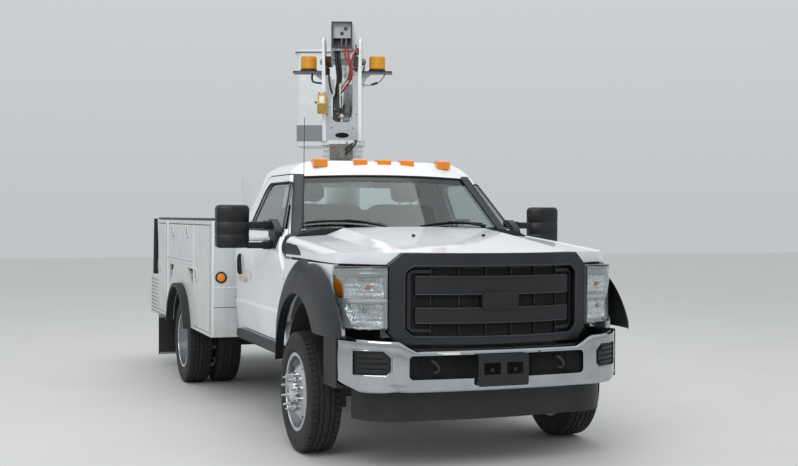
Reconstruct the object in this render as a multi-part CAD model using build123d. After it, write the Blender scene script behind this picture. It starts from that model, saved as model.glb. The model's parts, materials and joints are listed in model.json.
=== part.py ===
"""Cherry picker truck: a medium truck chassis with a single cab, an enclosed utility body
and a telescopic lift with a one-person bucket behind the cab.

Millimetres. X points to the truck's left, Y to its rear, Z up. Everything is drawn from
the front axle's centre on the ground and moved to the middle of the truck when written.
"""
from build123d import *
import math
import os

# Chassis
WHEELBASE = 3581.0
TYRE_R = 405.0
TYRE_W = 226.0
TREAD_W = 190.0
RIM_R = 247.0
RIM_FLANGE_R = 262.0
RIM_W = 176.0
RIM_WALL = 8.0
FRONT_TRACK = 1900.0
REAR_TRACK = 1880.0
TWIN_SPACING = 272.0
KINGPIN_X = 800.0
RAIL_OUT = 432.0
RAIL_W = 72.0
RAIL_WALL = 9.0
RAIL_Z0 = 590.0
RAIL_Z1 = 810.0
RAIL_FRONT = -905.0
RAIL_REAR = 4900.0
SEAT = 0.3
RUN = 0.05

# Overall reach, front of the number plate bracket to the back of the tail deck
FRONT_REACH = -1035.0
BODY_Y1 = 4973.0
DECK_LENGTH = 610.0
REAR_REACH = BODY_Y1 + DECK_LENGTH
MID_Y = (FRONT_REACH + REAR_REACH) / 2

# Cab
CAB_W = 1005.0
CAB_FRONT = 510.0
CAB_BACK = 2057.0
SILL_Z = 652.0
FLOOR_Z = 830.0
CAB_WALL = 42.0
BELT_Z = 1450.0
BELT_W = 952.0
HEADER_Z = 1925.0
HEADER_W = 752.0
ROOF_Z = 2036.0
PANEL_GAP = 9.0
DOOR_Y0 = 519.0
DOOR_Y1 = 1938.0
HOOD_Z = 1300.0
SCREEN_BASE = (560.0, 1462.0)
SCREEN_TOP = (1118.0, 1938.0)
SCREEN_R = 3000.0

# Utility body
BODY_HALF = 1194.0
LIP_OUT = BODY_HALF + 68
DECK_HALF = BODY_HALF - 14
BODY_Y0 = 2160.0
BODY_Z0 = 561.0
BODY_Z1 = 1543.0
PACK_IN = 640.0
BED_Z = 950.0
SHEET = 22.0
LEAF = 25.0
ARCH_R = 470.0
ARCH_Z = 440.0

# Lift, drawn along its own Y axis from the pedestal's centre, then turned
PEDESTAL_Y = 2275.0
SLEW = 21.0
PEDESTAL_R = 150.0
RING_R = 177.0
TURN_Z = 2205.0
PIVOT_Y = -40.0
PIVOT_Z = 2940.0
PIVOT_R = 25.0
CHEEK_X = 152.0
CHEEK_T = 16.0
BOOM_W = 172.0
BOOM_H = 218.0
BOOM_Z0 = 3040.0
BOOM_WALL = 8.0
BOOM_BUTT = -230.0
BOOM_MOUTH = 2450.0
INNER_W = 110.0
INNER_H = 150.0
INNER_Y0 = 100.0
INNER_Y1 = 2850.0
TIP_Y = 2900.0
BUCKET_TOP = 590.0
BUCKET_FOOT = 560.0
BUCKET_H = 1067.0
BUCKET_Z0 = 2361.0
BUCKET_WALL = 10.0
BUCKET_IN = 96.0
RAM_X = 34.0
RAM_FOOT = (-100.0, 2420.0)
RAM_EYE = (460.0, 2880.0)
RAM_R = 43.0
ROD_R = 24.0

os.makedirs("parts", exist_ok=True)
nodes = {}


def outline(start, *moves):
    """Closed flat face. A move is an end point, or a pair: a point on the arc and its end."""
    edges = []
    here = start
    for move in moves:
        if isinstance(move[0], tuple):
            through, end = move
            edges.append(ThreePointArc(here, through, end))
        else:
            end = move
            edges.append(Line(here, end))
        here = end
    if here != start:
        edges.append(Line(here, start))
    return make_face(edges)


def along_x(face, x0, x1):
    """Face drawn in (Y, Z), pushed from x0 to x1."""
    plane = Plane(origin=(x0, 0, 0), x_dir=(0, 1, 0), z_dir=(1, 0, 0))
    return extrude(plane * face, amount=x1 - x0)


def along_y(face, y0, y1):
    """Face drawn in (X, Z), pushed from y0 to y1."""
    plane = Plane(origin=(0, y1, 0), x_dir=(1, 0, 0), z_dir=(0, -1, 0))
    return extrude(plane * face, amount=y1 - y0)


def along_z(face, z0, z1):
    """Face drawn in (X, Y), pushed from z0 to z1."""
    return extrude(Pos(0, 0, z0) * face, amount=z1 - z0)


def block(x0, x1, y0, y1, z0, z1):
    """Box between two corners."""
    return Pos((x0 + x1) / 2, (y0 + y1) / 2, (z0 + z1) / 2) * Box(abs(x1 - x0), abs(y1 - y0), abs(z1 - z0))


def rod_x(x0, x1, y, z, r):
    """Round bar along X."""
    return Pos((x0 + x1) / 2, y, z) * Rot(0, 90, 0) * Cylinder(r, abs(x1 - x0))


def rod_y(x, y0, y1, z, r):
    """Round bar along Y."""
    return Pos(x, (y0 + y1) / 2, z) * Rot(90, 0, 0) * Cylinder(r, abs(y1 - y0))


def rod_z(x, y, z0, z1, r):
    """Round bar along Z."""
    return Pos(x, y, (z0 + z1) / 2) * Cylinder(r, abs(z1 - z0))


def rod_to(a, b, r):
    """Round bar between two points."""
    a, b = Vector(*a), Vector(*b)
    run = b - a
    return extrude(Plane(origin=a, z_dir=run) * Circle(r), amount=run.length)


def flip(shape):
    """Same shape on the other side of the truck."""
    return mirror(shape, about=Plane.YZ)


def both(shape):
    """The shape and its mirror image."""
    return shape + flip(shape)


def seated(piece, *others, step=(0.0, SEAT, 0.0)):
    """The piece cut back from others, leaving the seat gap on the side the step points to."""
    for other in others:
        piece = piece - other - Pos(*step) * other
    return piece


# Chassis frame
def frame_rails():
    """Two channel rails with cross members and engine mounts."""
    inner = RAIL_OUT - RAIL_W
    rail = block(inner, RAIL_OUT, RAIL_FRONT, RAIL_REAR, RAIL_Z0, RAIL_Z1)
    rail -= block(inner - 1, RAIL_OUT - RAIL_WALL, RAIL_FRONT - 1, RAIL_REAR + 1,
                  RAIL_Z0 + RAIL_WALL, RAIL_Z1 - RAIL_WALL)
    rail -= block(inner - 1, RAIL_OUT + 1, RAIL_FRONT - 1, -845, 786, RAIL_Z1 + 1)
    frame = both(rail)
    for y in (-860.0, 1250.0, 2120.0, 2660.0, 4120.0, 4860.0):
        frame += block(-RAIL_OUT + RAIL_WALL, RAIL_OUT - RAIL_WALL, y - 35, y + 35, 705, 790)
    for y in (-120.0,):
        frame += both(block(ENGINE_HALF + SEAT, RAIL_OUT - RAIL_WALL, y - 60, y + 60, 660, 700))
    tower = block(RAIL_OUT - RAIL_WALL, 560, -80, 80, 770, 800)
    frame += both(tower)
    horn = block(inner, RAIL_OUT, -965, RAIL_FRONT, 738, 760)
    frame += both(seated(horn, bumper()))
    for y in (700.0, 1900.0):
        frame += both(block(inner, RAIL_OUT, y - 40, y + 40, RAIL_Z1, FLOOR_Z - SEAT))
    return frame


ENGINE_HALF = 290.0
ENGINE_Y = (-520.0, 380.0)
ENGINE_Z = (640.0, 1180.0)


def engine_block():
    """The engine as one plain mass."""
    return block(-ENGINE_HALF, ENGINE_HALF, *ENGINE_Y, *ENGINE_Z)


DIFF_R = 185.0


def driveline():
    """Gearbox, propeller shaft and exhaust run."""
    gearbox = block(-150, 150, ENGINE_Y[1] + SEAT, 1020, 560, 700)
    gearbox += block(-150, 150, ENGINE_Y[1] + SEAT, 620, 560, 800)
    shaft = rod_to((0, 1010, 620), (0, WHEELBASE - DIFF_R - 22, 430), 45)
    pipe = rod_y(255, 420, 2900, 620, 38)
    muffler = rod_y(255, 1700, 2400, 612, 88)
    lug = block(245, 265, 1240, 1260, 650, 705 - SEAT)
    front_lug = block(140, 262, 500, 540, 600, 640)
    return gearbox + shaft + pipe + muffler + lug + front_lug


def fuel_tank():
    """Tank between the rails behind the axle."""
    inner = RAIL_OUT - RAIL_W
    tank = block(-inner + SEAT, inner - SEAT, 4200, 4780, 540, 700)
    return fillet(tank.edges().filter_by(Axis.X), 40)


# Running gear
def tyre(centre_x):
    """Tyre ring about its own axle line, without tread."""
    half = TYRE_W / 2
    tread = TREAD_W / 2
    bead = RIM_W / 2
    side = 350.0
    face = outline((centre_x - bead, RIM_R), (centre_x - bead, RIM_FLANGE_R + 3), (centre_x - half, side),
                   (centre_x - tread, TYRE_R), (centre_x + tread, TYRE_R), (centre_x + half, side),
                   (centre_x + bead, RIM_FLANGE_R + 3), (centre_x + bead, RIM_R))
    return revolve(face, axis=Axis.X)


def rim_barrel(centre_x):
    """Rim barrel with its two flanges."""
    half = RIM_W / 2
    lip = 12.0
    inner = RIM_R - RIM_WALL
    face = outline((centre_x - half - lip, inner), (centre_x - half - lip, RIM_FLANGE_R),
                   (centre_x - half - 1, RIM_FLANGE_R), (centre_x - half - 1, RIM_R),
                   (centre_x + half + 1, RIM_R), (centre_x + half + 1, RIM_FLANGE_R),
                   (centre_x + half + lip, RIM_FLANGE_R), (centre_x + half + lip, inner))
    return revolve(face, axis=Axis.X)


HUB_BOLTS = 10
BOLT_CIRCLE_R = 112.5
HAND_HOLES = 8
FRONT_SPINDLE_R = 35.0
REAR_SPINDLE_R = 45.0


def bolt_ring(x0, x1, r0, r1):
    """Ring of tall nut covers on a hub face."""
    ring = None
    for k in range(HUB_BOLTS):
        turn = 360.0 * k / HUB_BOLTS
        cover = Pos((x0 + x1) / 2, 0, 0) * Rot(turn, 0, 0) * Pos(0, 0, BOLT_CIRCLE_R) * Rot(0, 90, 0) \
            * Cone(r0, r1, abs(x1 - x0))
        ring = cover if ring is None else ring + cover
    return ring


def hand_holes(x0, x1, radius, r):
    """Round holes through a wheel disc."""
    cut = None
    for k in range(HAND_HOLES):
        hole = Rot(360.0 * (k + 0.5) / HAND_HOLES, 0, 0) * rod_x(x0, x1, 0, radius, r)
        cut = hole if cut is None else cut + hole
    return cut


def front_rim():
    """Left front wheel: dished-out disc, hub and nut covers."""
    x = FRONT_TRACK / 2
    inner = RIM_R - RIM_WALL + 1
    disc = revolve(outline((x + 28, inner), (x + 92, 150), (x + 96, 60), (x + 82, 60), (x + 78, 150), (x + 12, inner)),
                   axis=Axis.X)
    disc -= hand_holes(x - 40, x + 120, 196, 27)
    hub = rod_x(x - 70, x + 128, 0, 0, 66)
    wheel = rim_barrel(x) + disc + hub
    wheel += bolt_ring(x + 86, x + 172, 17, 7)
    wheel -= rod_x(x - 71, x + 100, 0, 0, FRONT_SPINDLE_R + RUN)
    return wheel


def rear_rims():
    """Left pair of rear wheels back to back on one hub."""
    x = REAR_TRACK / 2
    inner = RIM_R - RIM_WALL + 1
    outer = x + TWIN_SPACING / 2
    inboard = x - TWIN_SPACING / 2
    disc_out = revolve(outline((outer - 30, inner), (x + 1, 165), (x, 60), (x + 13, 60), (x + 14, 160),
                               (outer - 16, inner)), axis=Axis.X)
    disc_in = revolve(outline((inboard + 30, inner), (x - 1, 165), (x, 60), (x - 13, 60), (x - 14, 160),
                              (inboard + 16, inner)), axis=Axis.X)
    holes = hand_holes(x - 60, x + 60, 200, 27)
    hub = rod_x(x - 200, x + 125, 0, 0, 92)
    wheel = rim_barrel(outer) + rim_barrel(inboard) + (disc_out - holes) + (disc_in - holes) + hub
    wheel += bolt_ring(x + 8, x + 72, 16, 8)
    wheel -= rod_x(x - 201, x + 100, 0, 0, REAR_SPINDLE_R + RUN)
    return wheel


YOKE_X = 744.0
PIN_R = 18.0
KNUCKLE_R = 50.0
KNUCKLE_Z = (TYRE_R - 80, TYRE_R + 80)
COIL_X = 500.0


def front_axle():
    """Front beam with spring seats, coils, dampers and steering yokes."""
    beam = rod_x(-YOKE_X, YOKE_X, 0, TYRE_R, 48)
    beam += rod_y(-180, -100, 100, TYRE_R, 130)
    z0, z1 = KNUCKLE_Z
    yoke = block(YOKE_X - 34, YOKE_X, -46, 46, z0 - 34, z1 + 34)
    for low in (z0 - 34, z1 + SEAT):
        arm = block(YOKE_X - 10, KINGPIN_X, -46, 46, low, low + 34 - SEAT)
        arm += rod_z(KINGPIN_X, 0, low, low + 34 - SEAT, 46)
        yoke += arm
    yoke -= rod_z(KINGPIN_X, 0, z0 - 60, z1 + 60, PIN_R + RUN)
    coil = rod_z(COIL_X, 0, TYRE_R + 30, 770 - SEAT, 56)
    pad = block(COIL_X - 65, COIL_X + 65, -70, 70, TYRE_R + 30, TYRE_R + 62)
    return beam + both(yoke) + both(coil) + both(pad)


def knuckle():
    """Left steering knuckle with its pins, spindle and arm."""
    z0, z1 = KNUCKLE_Z
    body = rod_z(KINGPIN_X, 0, z0, z1, KNUCKLE_R)
    body += rod_z(KINGPIN_X, 0, z0 - 34, z1 + 34, PIN_R)
    body += rod_x(KINGPIN_X + 20, KINGPIN_X + 74, 0, TYRE_R, 58)
    body += rod_x(KINGPIN_X + 40, FRONT_TRACK / 2 + 92, 0, TYRE_R, FRONT_SPINDLE_R)
    arm = block(KINGPIN_X - 8, KINGPIN_X + 24, 30, 190, z0 + 12, z0 + 40)
    return body + arm


LEAF_X = RAIL_OUT - RAIL_W / 2


def rear_axle():
    """Rear beam, differential and leaf springs with their hangers."""
    beam = rod_x(-REAR_TRACK / 2 - 95, REAR_TRACK / 2 + 95, WHEELBASE, TYRE_R, REAR_SPINDLE_R)
    beam += rod_x(-REAR_TRACK / 2 + 215, REAR_TRACK / 2 - 215, WHEELBASE, TYRE_R, 70)
    beam += rod_y(0, WHEELBASE - DIFF_R, WHEELBASE - 100, TYRE_R + 8, 90)
    beam += rod_y(0, WHEELBASE - 100, WHEELBASE + 130, TYRE_R + 8, 160)
    for step, half in enumerate((650.0, 480.0, 330.0, 190.0)):
        z1 = 530.0 - 18 * step
        beam += both(block(LEAF_X - 32, LEAF_X + 32, WHEELBASE - half, WHEELBASE + half, z1 - 18, z1))
    beam += both(block(LEAF_X - 40, LEAF_X + 40, WHEELBASE - 70, WHEELBASE + 70, TYRE_R - 20, 470))
    for end in (-1, 1):
        beam += both(block(LEAF_X - 34, LEAF_X + 34, WHEELBASE + end * 650 - 28, WHEELBASE + end * 650 + 28,
                           505, RAIL_Z0 - SEAT))
    return beam


# Cab
def cab_section():
    """Cross-section of the cab in (X, Z)."""
    return outline((-CAB_W + 32, SILL_Z), (-CAB_W, 880), (-CAB_W + 12, 905), (-CAB_W, 1180),
                   ((-CAB_W + 6, 1330), (-BELT_W, BELT_Z)), (-HEADER_W, HEADER_Z),
                   ((-655, 1998), (-520, 2016)), ((0, ROOF_Z), (520, 2016)), ((655, 1998), (HEADER_W, HEADER_Z)),
                   (BELT_W, BELT_Z), ((CAB_W - 6, 1330), (CAB_W, 1180)), (CAB_W - 12, 905), (CAB_W, 880),
                   (CAB_W - 32, SILL_Z))


def cab_volume(inset):
    """Outside form of the cab, drawn in by a wall thickness."""
    side = cab_section()
    length = outline((CAB_FRONT, SILL_Z), (CAB_FRONT, 1440), (470, 1462), (1010, 1965),
                     ((1240, 2022), (1560, ROOF_Z + 4)), ((1870, 2022), (2030, 1955)),
                     (CAB_BACK, 1500), (CAB_BACK, SILL_Z))
    if inset:
        side = offset(side, -inset)
        length = offset(length, -inset)
    volume = along_y(side, CAB_FRONT - 200, CAB_BACK + 100) & along_x(length, -1300, 1300)
    return volume & screen_side(inset)


def screen_side(inset):
    """Everything behind the curved windscreen surface."""
    y0, z0 = SCREEN_BASE
    y1, z1 = SCREEN_TOP
    rise = Vector(0, y1 - y0, z1 - z0).normalized()
    plane = Plane(origin=(0, y0, z0), x_dir=(1, 0, 0), z_dir=rise)
    away = plane.y_dir
    sign = 1 if away.Y > 0 else -1
    shift = sign * inset
    sag = SCREEN_R - math.sqrt(SCREEN_R ** 2 - 1300 ** 2)
    face = outline((-1300, shift + sign * sag), ((0, shift), (1300, shift + sign * sag)), (1300, sign * 3500),
                   (-1300, sign * 3500))
    return extrude(plane * face, amount=2500) + extrude(plane * face, amount=-2500)


def door_outline(grow):
    """Side outline of the left door in (Y, Z)."""
    g = grow
    return outline((DOOR_Y0 - g, 900 - g), (DOOR_Y0 - g, 1420), (742 - g, 1545), (1092 - g, 1870 + g),
                   ((1130, 1902 + g), (1175, 1906 + g)), (1790, 1906 + g), ((1880 + g, 1880 + g), (1915 + g, 1790)),
                   (DOOR_Y1 + g, 1400), (DOOR_Y1 + g, 740), ((DOOR_Y1 - 20 + g, 690 - g), (DOOR_Y1 - 70, 672 - g)),
                   (640 - g, 672 - g), (600 - g, 780))


def window_outline(grow):
    """Side window in (Y, Z)."""
    g = grow
    return outline((800 - g, 1490 - g), (1136, 1850 + g), (1750, 1850 + g), ((1800 + g, 1840), (1822 + g, 1790)),
                   (1862 + g, 1490 - g))


def windscreen_zone(grow):
    """Front window region as a solid through the screen."""
    g = grow
    face = outline((-846 - g, 1490 - g), ((0, 1478 - g), (846 + g, 1490 - g)), (712 + g, 1895 + g),
                   ((0, 1912 + g), (-712 - g, 1895 + g)))
    return along_y(face, 400, 1330)


def rear_window_zone(grow):
    """Back window region."""
    g = grow
    return along_y(outline((-640 - g, 1510 - g), (640 + g, 1510 - g), (590 + g, 1830 + g), (-590 - g, 1830 + g)),
                   1900, 2200)


DOOR_HINGE = (1003.0, 524.0)


def cab():
    """Cab shell, doors and glass."""
    outer = cab_volume(0)
    inner = cab_volume(CAB_WALL)
    pane_layer = cab_volume(14) - screen_side(20)
    back_layer = (cab_volume(14) - cab_volume(20)) & block(-1300, 1300, 1900, 2200, 1400, 2000)
    side_layer = along_y(offset(cab_section(), -14), 500, 2100) - along_y(offset(cab_section(), -20), 490, 2110)
    low_open = block(-880, 880, CAB_FRONT - 10, CAB_BACK + 10, SILL_Z - 10, FLOOR_Z)
    room = inner & block(-1300, 1300, 0, 3000, FLOOR_Z + 40, 2200)
    shell = outer - low_open - room
    glass = pane_layer & windscreen_zone(-0.3)
    rear_glass = back_layer & rear_window_zone(-0.3)
    shell = shell - windscreen_zone(0) - rear_window_zone(0)
    side_opening = along_x(door_outline(PANEL_GAP), 560, 1300)
    side_opening -= along_y(offset(cab_section(), -CAB_WALL - 6), CAB_FRONT - 200, CAB_BACK + 100)
    for cut in (side_opening, flip(side_opening)):
        shell = shell - cut
    frame_seal = along_x(door_outline(-10), 560, 1300) - along_x(door_outline(-34), 550, 1310)
    jamb = (cab_volume(CAB_WALL + SEAT) - cab_volume(CAB_WALL + 20)) & block(-1300, 1300, 0, 3000, 640, 2200)
    jamb_ring = jamb & (along_x(door_outline(PANEL_GAP + 14), 560, 1300) - along_x(door_outline(-16), 550, 1310))
    shell = shell + jamb_ring + flip(jamb_ring)
    core = along_y(offset(cab_section(), -CAB_WALL), CAB_FRONT - 200, CAB_BACK + 100)
    door = (outer - core) & along_x(door_outline(0), 560, 1300)
    window = along_x(window_outline(0), 560, 1300)
    door = door - window - block(500, CAB_W - 32 - CAB_WALL - 2, 500, 2100, SILL_Z - 10, 700)
    post = block(CAB_W - CAB_WALL - 30, CAB_W - CAB_WALL - 16, CAB_FRONT + 3, CAB_FRONT + 44, 820, 1300)
    shell = shell + both(post)
    for z in (965.0, 1135.0):
        door += rod_z(DOOR_HINGE[0], DOOR_HINGE[1], z, z + 60, 9)
    door_pane = side_layer & along_x(window_outline(-0.3), 560, 1300)
    return shell, door, glass + rear_glass, door_pane


def cab_interior():
    """Bench seat, dashboard and steering wheel, seen through the glass."""
    seat = block(-700, 700, 1250, 1800, FLOOR_Z + 40, 1140)
    seat += Pos(0, 1790, 1400) * Rot(-10, 0, 0) * Box(1380, 130, 620)
    seat += block(-690, 690, 1700, 1860, FLOOR_Z + 40, 1180)
    for x in (-430, 430):
        seat += Pos(x, 1850, 1700) * Rot(-10, 0, 0) * Box(260, 90, 190)
    dash = along_x(outline((560, 1290), (560, 1425), (700, 1425), (860, 1380), (900, 1270), (800, 1150), (560, 1130)),
                   -860, 860) & cab_volume(CAB_WALL + SEAT)
    return seat, dash


# Front end
NOSE_HALF = 690.0
NOSE_CENTRE = -978.0
NOSE_CORNER = -812.0
SURROUND_DEPTH = 64.0


def nose_band(half, y_centre, y_corner, depth):
    """Plan strip behind the curved front, in (X, Y)."""
    return outline((-half, y_corner), ((0, y_centre), (half, y_corner)), (half, y_corner + depth),
                   ((0, y_centre + depth), (-half, y_corner + depth)))


def front_plan(step):
    """Plan of the front bodywork behind the grille and lamps, in (X, Y)."""
    y0 = NOSE_CENTRE + SURROUND_DEPTH + step
    y1 = NOSE_CORNER + SURROUND_DEPTH + step
    return outline((-CAB_W + 12, 600), (-CAB_W + 12, -100), ((-990, -350), (-958, -585)), (-NOSE_HALF, y1),
                   ((0, y0), (NOSE_HALF, y1)), (958, -585), ((990, -350), (CAB_W - 12, -100)), (CAB_W - 12, 600))


def hood():
    """Bonnet with a raised centre, hinged at the cowl."""
    sections = (  # y, half width, side z, edge z, ridge z, valley z, crown z, centre z
        (-940.0, 990.0, HOOD_Z - 20, 1299.0, 1330.0, 1343.0, 1350.0, 1356.0),
        (-500.0, 990.0, HOOD_Z - 8, 1330.0, 1366.0, 1380.0, 1402.0, 1413.0),
        (498.0, 990.0, HOOD_Z, 1404.0, 1438.0, 1451.0, 1501.0, 1512.0),
    )

    def solid(drop, shrink):
        faces = []
        for y, w, low, edge, ridge, valley, crown, centre in sections:
            half, rim, top = w - shrink, edge - drop, ridge - drop
            left = ((-half, low - drop), (-half + 3, rim), ((-half + 22, rim + 0.72 * (top - rim)), (-905 + shrink, top)),
                    (-690, valley - drop), (-560, crown - drop))
            right = (((0, centre - drop), (560, crown - drop)), (690, valley - drop), (905 - shrink, top),
                     ((half - 22, rim + 0.72 * (top - rim)), (half - 3, rim)), (half, low - drop))
            faces.append(Plane(origin=(0, y, 0), x_dir=(1, 0, 0), z_dir=(0, -1, 0)) * outline(*left, *right))
        return loft(faces)
    lid = solid(0, 0) & along_z(front_plan(0), 1200, 1600)
    well = solid(24, 26) & along_z(offset(front_plan(0), -26), 1200, 1600) & block(-1300, 1300, -1000, 472, 1100, 1600)
    lid -= well
    for x in HOOD_HINGES:
        lid -= block(x - 16, x + 16, 474, 500, HINGE_Z - 12, HINGE_Z + 30)
        lid -= rod_x(x - 30, x + 30, HOOD_HINGE_Y, HINGE_Z, 4 + RUN)
    return lid


HOOD_HINGES = (-240.0, 240.0)
HOOD_HINGE_Y = 491.0
HINGE_Z = 1495.0


LAMP_SEAM = ((-578.0, 1281.0), (-542.0, 1200.0), (-562.0, 1150.0), (-602.0, 1061.0), (-645.0, 965.0), (-683.0, 880.0))


def fenders():
    """Left fender skin with its wheel opening."""
    rear = CAB_FRONT - SEAT
    skin = along_z(outline((CAB_W - 5, rear), (CAB_W - 5, -100), ((984, -420), (944, -800)), (910, -800),
                           ((950, -420), (CAB_W - 31, -100)), (CAB_W - 31, rear)), 840, HOOD_Z - 16 - SEAT)
    side = outline(*LAMP_SEAM, (-683, 840), (rear, 840), (rear, 1400), (-578, 1400))
    skin = (skin & along_x(side, 800, 1100)) - rod_x(700, 1100, 0, 565, 520)
    apron = block(560, CAB_W - 31, -560, CAB_FRONT - 60, HOOD_Z - 60, HOOD_Z - 44)
    apron += seated(block(640, 900, -740, -560, HOOD_Z - 60, HOOD_Z - 44), headlamp())
    apron += block(640, 680, -760 + SURROUND_DEPTH + SEAT, -560, HOOD_Z - 60, HOOD_Z - 44)
    strut = block(RAIL_OUT - RAIL_WALL - 10, 636, -560, -520, RAIL_Z1 + SEAT, HOOD_Z - 60)
    strut += block(RAIL_OUT - RAIL_WALL - 10, 636, 400, 440, RAIL_Z1 + SEAT, HOOD_Z - 60)
    return skin + apron + strut


def flares():
    """Left wheel arch flare, wide in front of the wheel."""
    x0, x1 = CAB_W - 5 + SEAT, CAB_W + 62
    plane0 = Plane(origin=(x0, 0, 0), x_dir=(0, 1, 0), z_dir=(1, 0, 0))
    plane1 = Plane(origin=(x1, 0, 0), x_dir=(0, 1, 0), z_dir=(1, 0, 0))
    wide = outline((-855, 890), ((-560, 1200), (-140, 1272)), ((330, 1190), (CAB_FRONT - 3, 880)),
                   (CAB_FRONT - 3, 480), (-855, 480))
    narrow = outline((-620, 890), ((-440, 1090), (-90, 1160)), ((290, 1080), (CAB_FRONT - 14, 860)),
                     (CAB_FRONT - 14, 480), (-620, 480))
    flare = loft([plane0 * wide, plane1 * narrow])
    flare = flare - rod_x(900, 1200, 0, 565, 500) - block(900, 1200, -500, 490, 400, 565)
    return flare - block(900, 1200, -1000, 0, 400, 840)


def liner():
    """Left wheel housing inside the fender."""
    tube = rod_x(636 + SEAT, 940, 0, 470, 540) - rod_x(630, CAB_W, 0, 470, 528)
    return (tube & block(600, 1100, -600, 600, 720, 1200)) - block(860, 1100, -700, -380, 700, 838)


SURROUND_OUT = ((600.0, 1361.0), (684.0, 1285.0), (684.0, 866.0), (622.0, 794.0))
SURROUND_IN = ((552.0, 1280.0), (592.0, 1240.0), (592.0, 886.0), (552.0, 846.0))
BARS = ((1104.0, 1217.0), (926.0, 1021.0))
FINS = (86.0, 260.0, 434.0)


def ring_outline(corners):
    """Closed outline from its left half, top to bottom."""
    other = [(-x, z) for x, z in corners[::-1]]
    points = list(corners) + other
    return outline(points[0], *points[1:])


def grille():
    """Surround with cut corners, and the bars, fins and end trims inside it."""
    outer = ring_outline(SURROUND_OUT)
    inner = ring_outline(SURROUND_IN)
    band = along_z(nose_band(NOSE_HALF, NOSE_CENTRE, NOSE_CORNER, SURROUND_DEPTH - SEAT), 760, 1400)
    surround = (along_y(outer, -1100, -600) - along_y(inner, -1200, -500)) & band

    def layer(step, depth):
        return along_z(nose_band(NOSE_HALF - 20, NOSE_CENTRE + step, NOSE_CORNER + step, depth), 760, 1400)
    well = along_y(offset(inner, -SEAT), -1200, -500)
    bars = well & layer(46, 16)
    for z0, z1 in BARS:
        bars += layer(10, 40) & block(-530, 530, -1200, -500, z0, z1)
    for x in FINS:
        bars += both(well & layer(28, 30) & block(x - 4, x + 4, -1200, -500, 800, 1300))
    trim = outline((430, 1257), (548, 1257), (574, 1230), (574, 896), (548, 869), (430, 869), (430, 890), (540, 890),
                   (551, 902), (551, 1224), (540, 1236), (430, 1236))
    bars += both(along_y(trim, -1200, -500) & layer(22, 36))
    pad = along_y(Pos(0, 1064) * RectangleRounded(250, 110, 30), NOSE_CENTRE - 2, NOSE_CENTRE + 50)
    return surround, bars + pad


def headlamp():
    """Left headlamp body."""
    plan = outline((692, -822), ((850, -790), (944, -690)), ((958, -620), (968, -540)), (930, -530), (900, -620),
                   (692, -700))
    face = outline((692, 886), (990, 886), (990, 1279), (692, 1279))
    side = outline((-1000, 880), *[(y - 4, z) for y, z in LAMP_SEAM[::-1]], (-1000, 1281))
    return along_z(plan, 800, 1300) & along_y(face, -1000, -400) & along_x(side, 600, 1100)


def bumper():
    """Chrome bumper, with fog lamp blanks cut out."""
    plan = outline((-985, -690), ((-860, -860), (-600, -962)), ((0, -1003), (600, -962)), ((860, -860), (985, -690)),
                   (945, -670), ((835, -825), (590, -920)), ((0, -962), (-590, -920)), ((-835, -825), (-945, -670)))
    front = outline((-990, 838), (-660, 824), (-560, 762), (560, 762), (660, 824), (990, 838), (990, 560),
                    (880, 505), (-880, 505), (-990, 560))
    bar = along_z(plan, 480, 860) & along_y(front, -1100, -600)
    slot = along_y(fillet(outline((-600, 735), (600, 735), (600, 588), (-600, 588)).vertices(), 28), -1100, -850)
    bar = bar - slot
    return bar - fog_zone(0) - flip(fog_zone(0))


def fog_zone(shrink):
    """Opening for the right fog lamp blank."""
    g = shrink
    return along_y(outline((-918 + g, 612 + g), (-918 + g, 770 - g), (-750 - g, 770 - g), (-704 - g, 728 - g),
                           (-704 - g, 640 + g), (-732 - g, 612 + g)), -1100, -640)


def bumper_plan(step):
    """Plan strip that follows the bumper, moved back by a step."""
    return outline((-985, -690 + step), ((-860, -860 + step), (-600, -962 + step)),
                   ((0, -1003 + step), (600, -962 + step)), ((860, -860 + step), (985, -690 + step)),
                   (945, -670 + step), ((835, -825 + step), (590, -920 + step)),
                   ((0, -962 + step), (-590, -920 + step)), ((-835, -825 + step), (-945, -670 + step)))


PLATE_X = 172.0
PLATE_Z = (538.0, 737.0)


def lower_trim():
    """Black lower front: air dam, end caps, fog blanks, step pad and plate bracket."""
    plan = outline((-868, -640), ((-790, -800), (-560, -880)), ((0, -925), (560, -880)), ((790, -800), (868, -640)),
                   (828, -630), ((760, -770), (545, -842)), ((0, -885), (-545, -842)), ((-760, -770), (-828, -630)))
    dam = along_z(plan, 322, 505 - SEAT)
    dam += block(-RAIL_OUT, RAIL_OUT, RAIL_FRONT + 10, RAIL_FRONT + 50, 440, RAIL_Z0 - SEAT)
    cap = along_z(outline((885, -700), (990, -700), (1000, -470), (960, -455), (885, -500)), 520, 835)
    cap = seated(cap, bumper())
    blank = fog_zone(SEAT) & along_z(bumper_plan(22), 500, 900)
    rib = None
    for k in range(4):
        z = 640.0 + 32 * k
        bar = fog_zone(22) & along_z(bumper_plan(8), 500, 900) & block(-1000, -600, -1100, -600, z - 10, z + 10)
        rib = bar if rib is None else rib + bar
    blank = (blank & block(-1000, -600, -1100, -790, 500, 900)) + rib
    z0, z1 = PLATE_Z
    plate = block(-PLATE_X, PLATE_X, FRONT_REACH, FRONT_REACH + 12, z0, z1)
    plate = fillet(plate.edges().filter_by(Axis.Y), 16)
    for x in (-78.0, 78.0):
        plate -= block(x - 56, x + 56, FRONT_REACH - 5, FRONT_REACH + 20, 610, 684)
    plate += both(seated(block(140, 166, FRONT_REACH + 8, -985, 742 - 20, 737), bumper(), step=(0, -SEAT, 0)))
    plate += both(seated(block(140, 166, FRONT_REACH + 8, -985, 545, 575), bumper(), step=(0, -SEAT, 0)))
    pad = along_z(nose_band(560, -985, -918, 30), 762 + SEAT, 772)
    return dam + both(cap) + blank + flip(blank) + plate + pad


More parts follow.
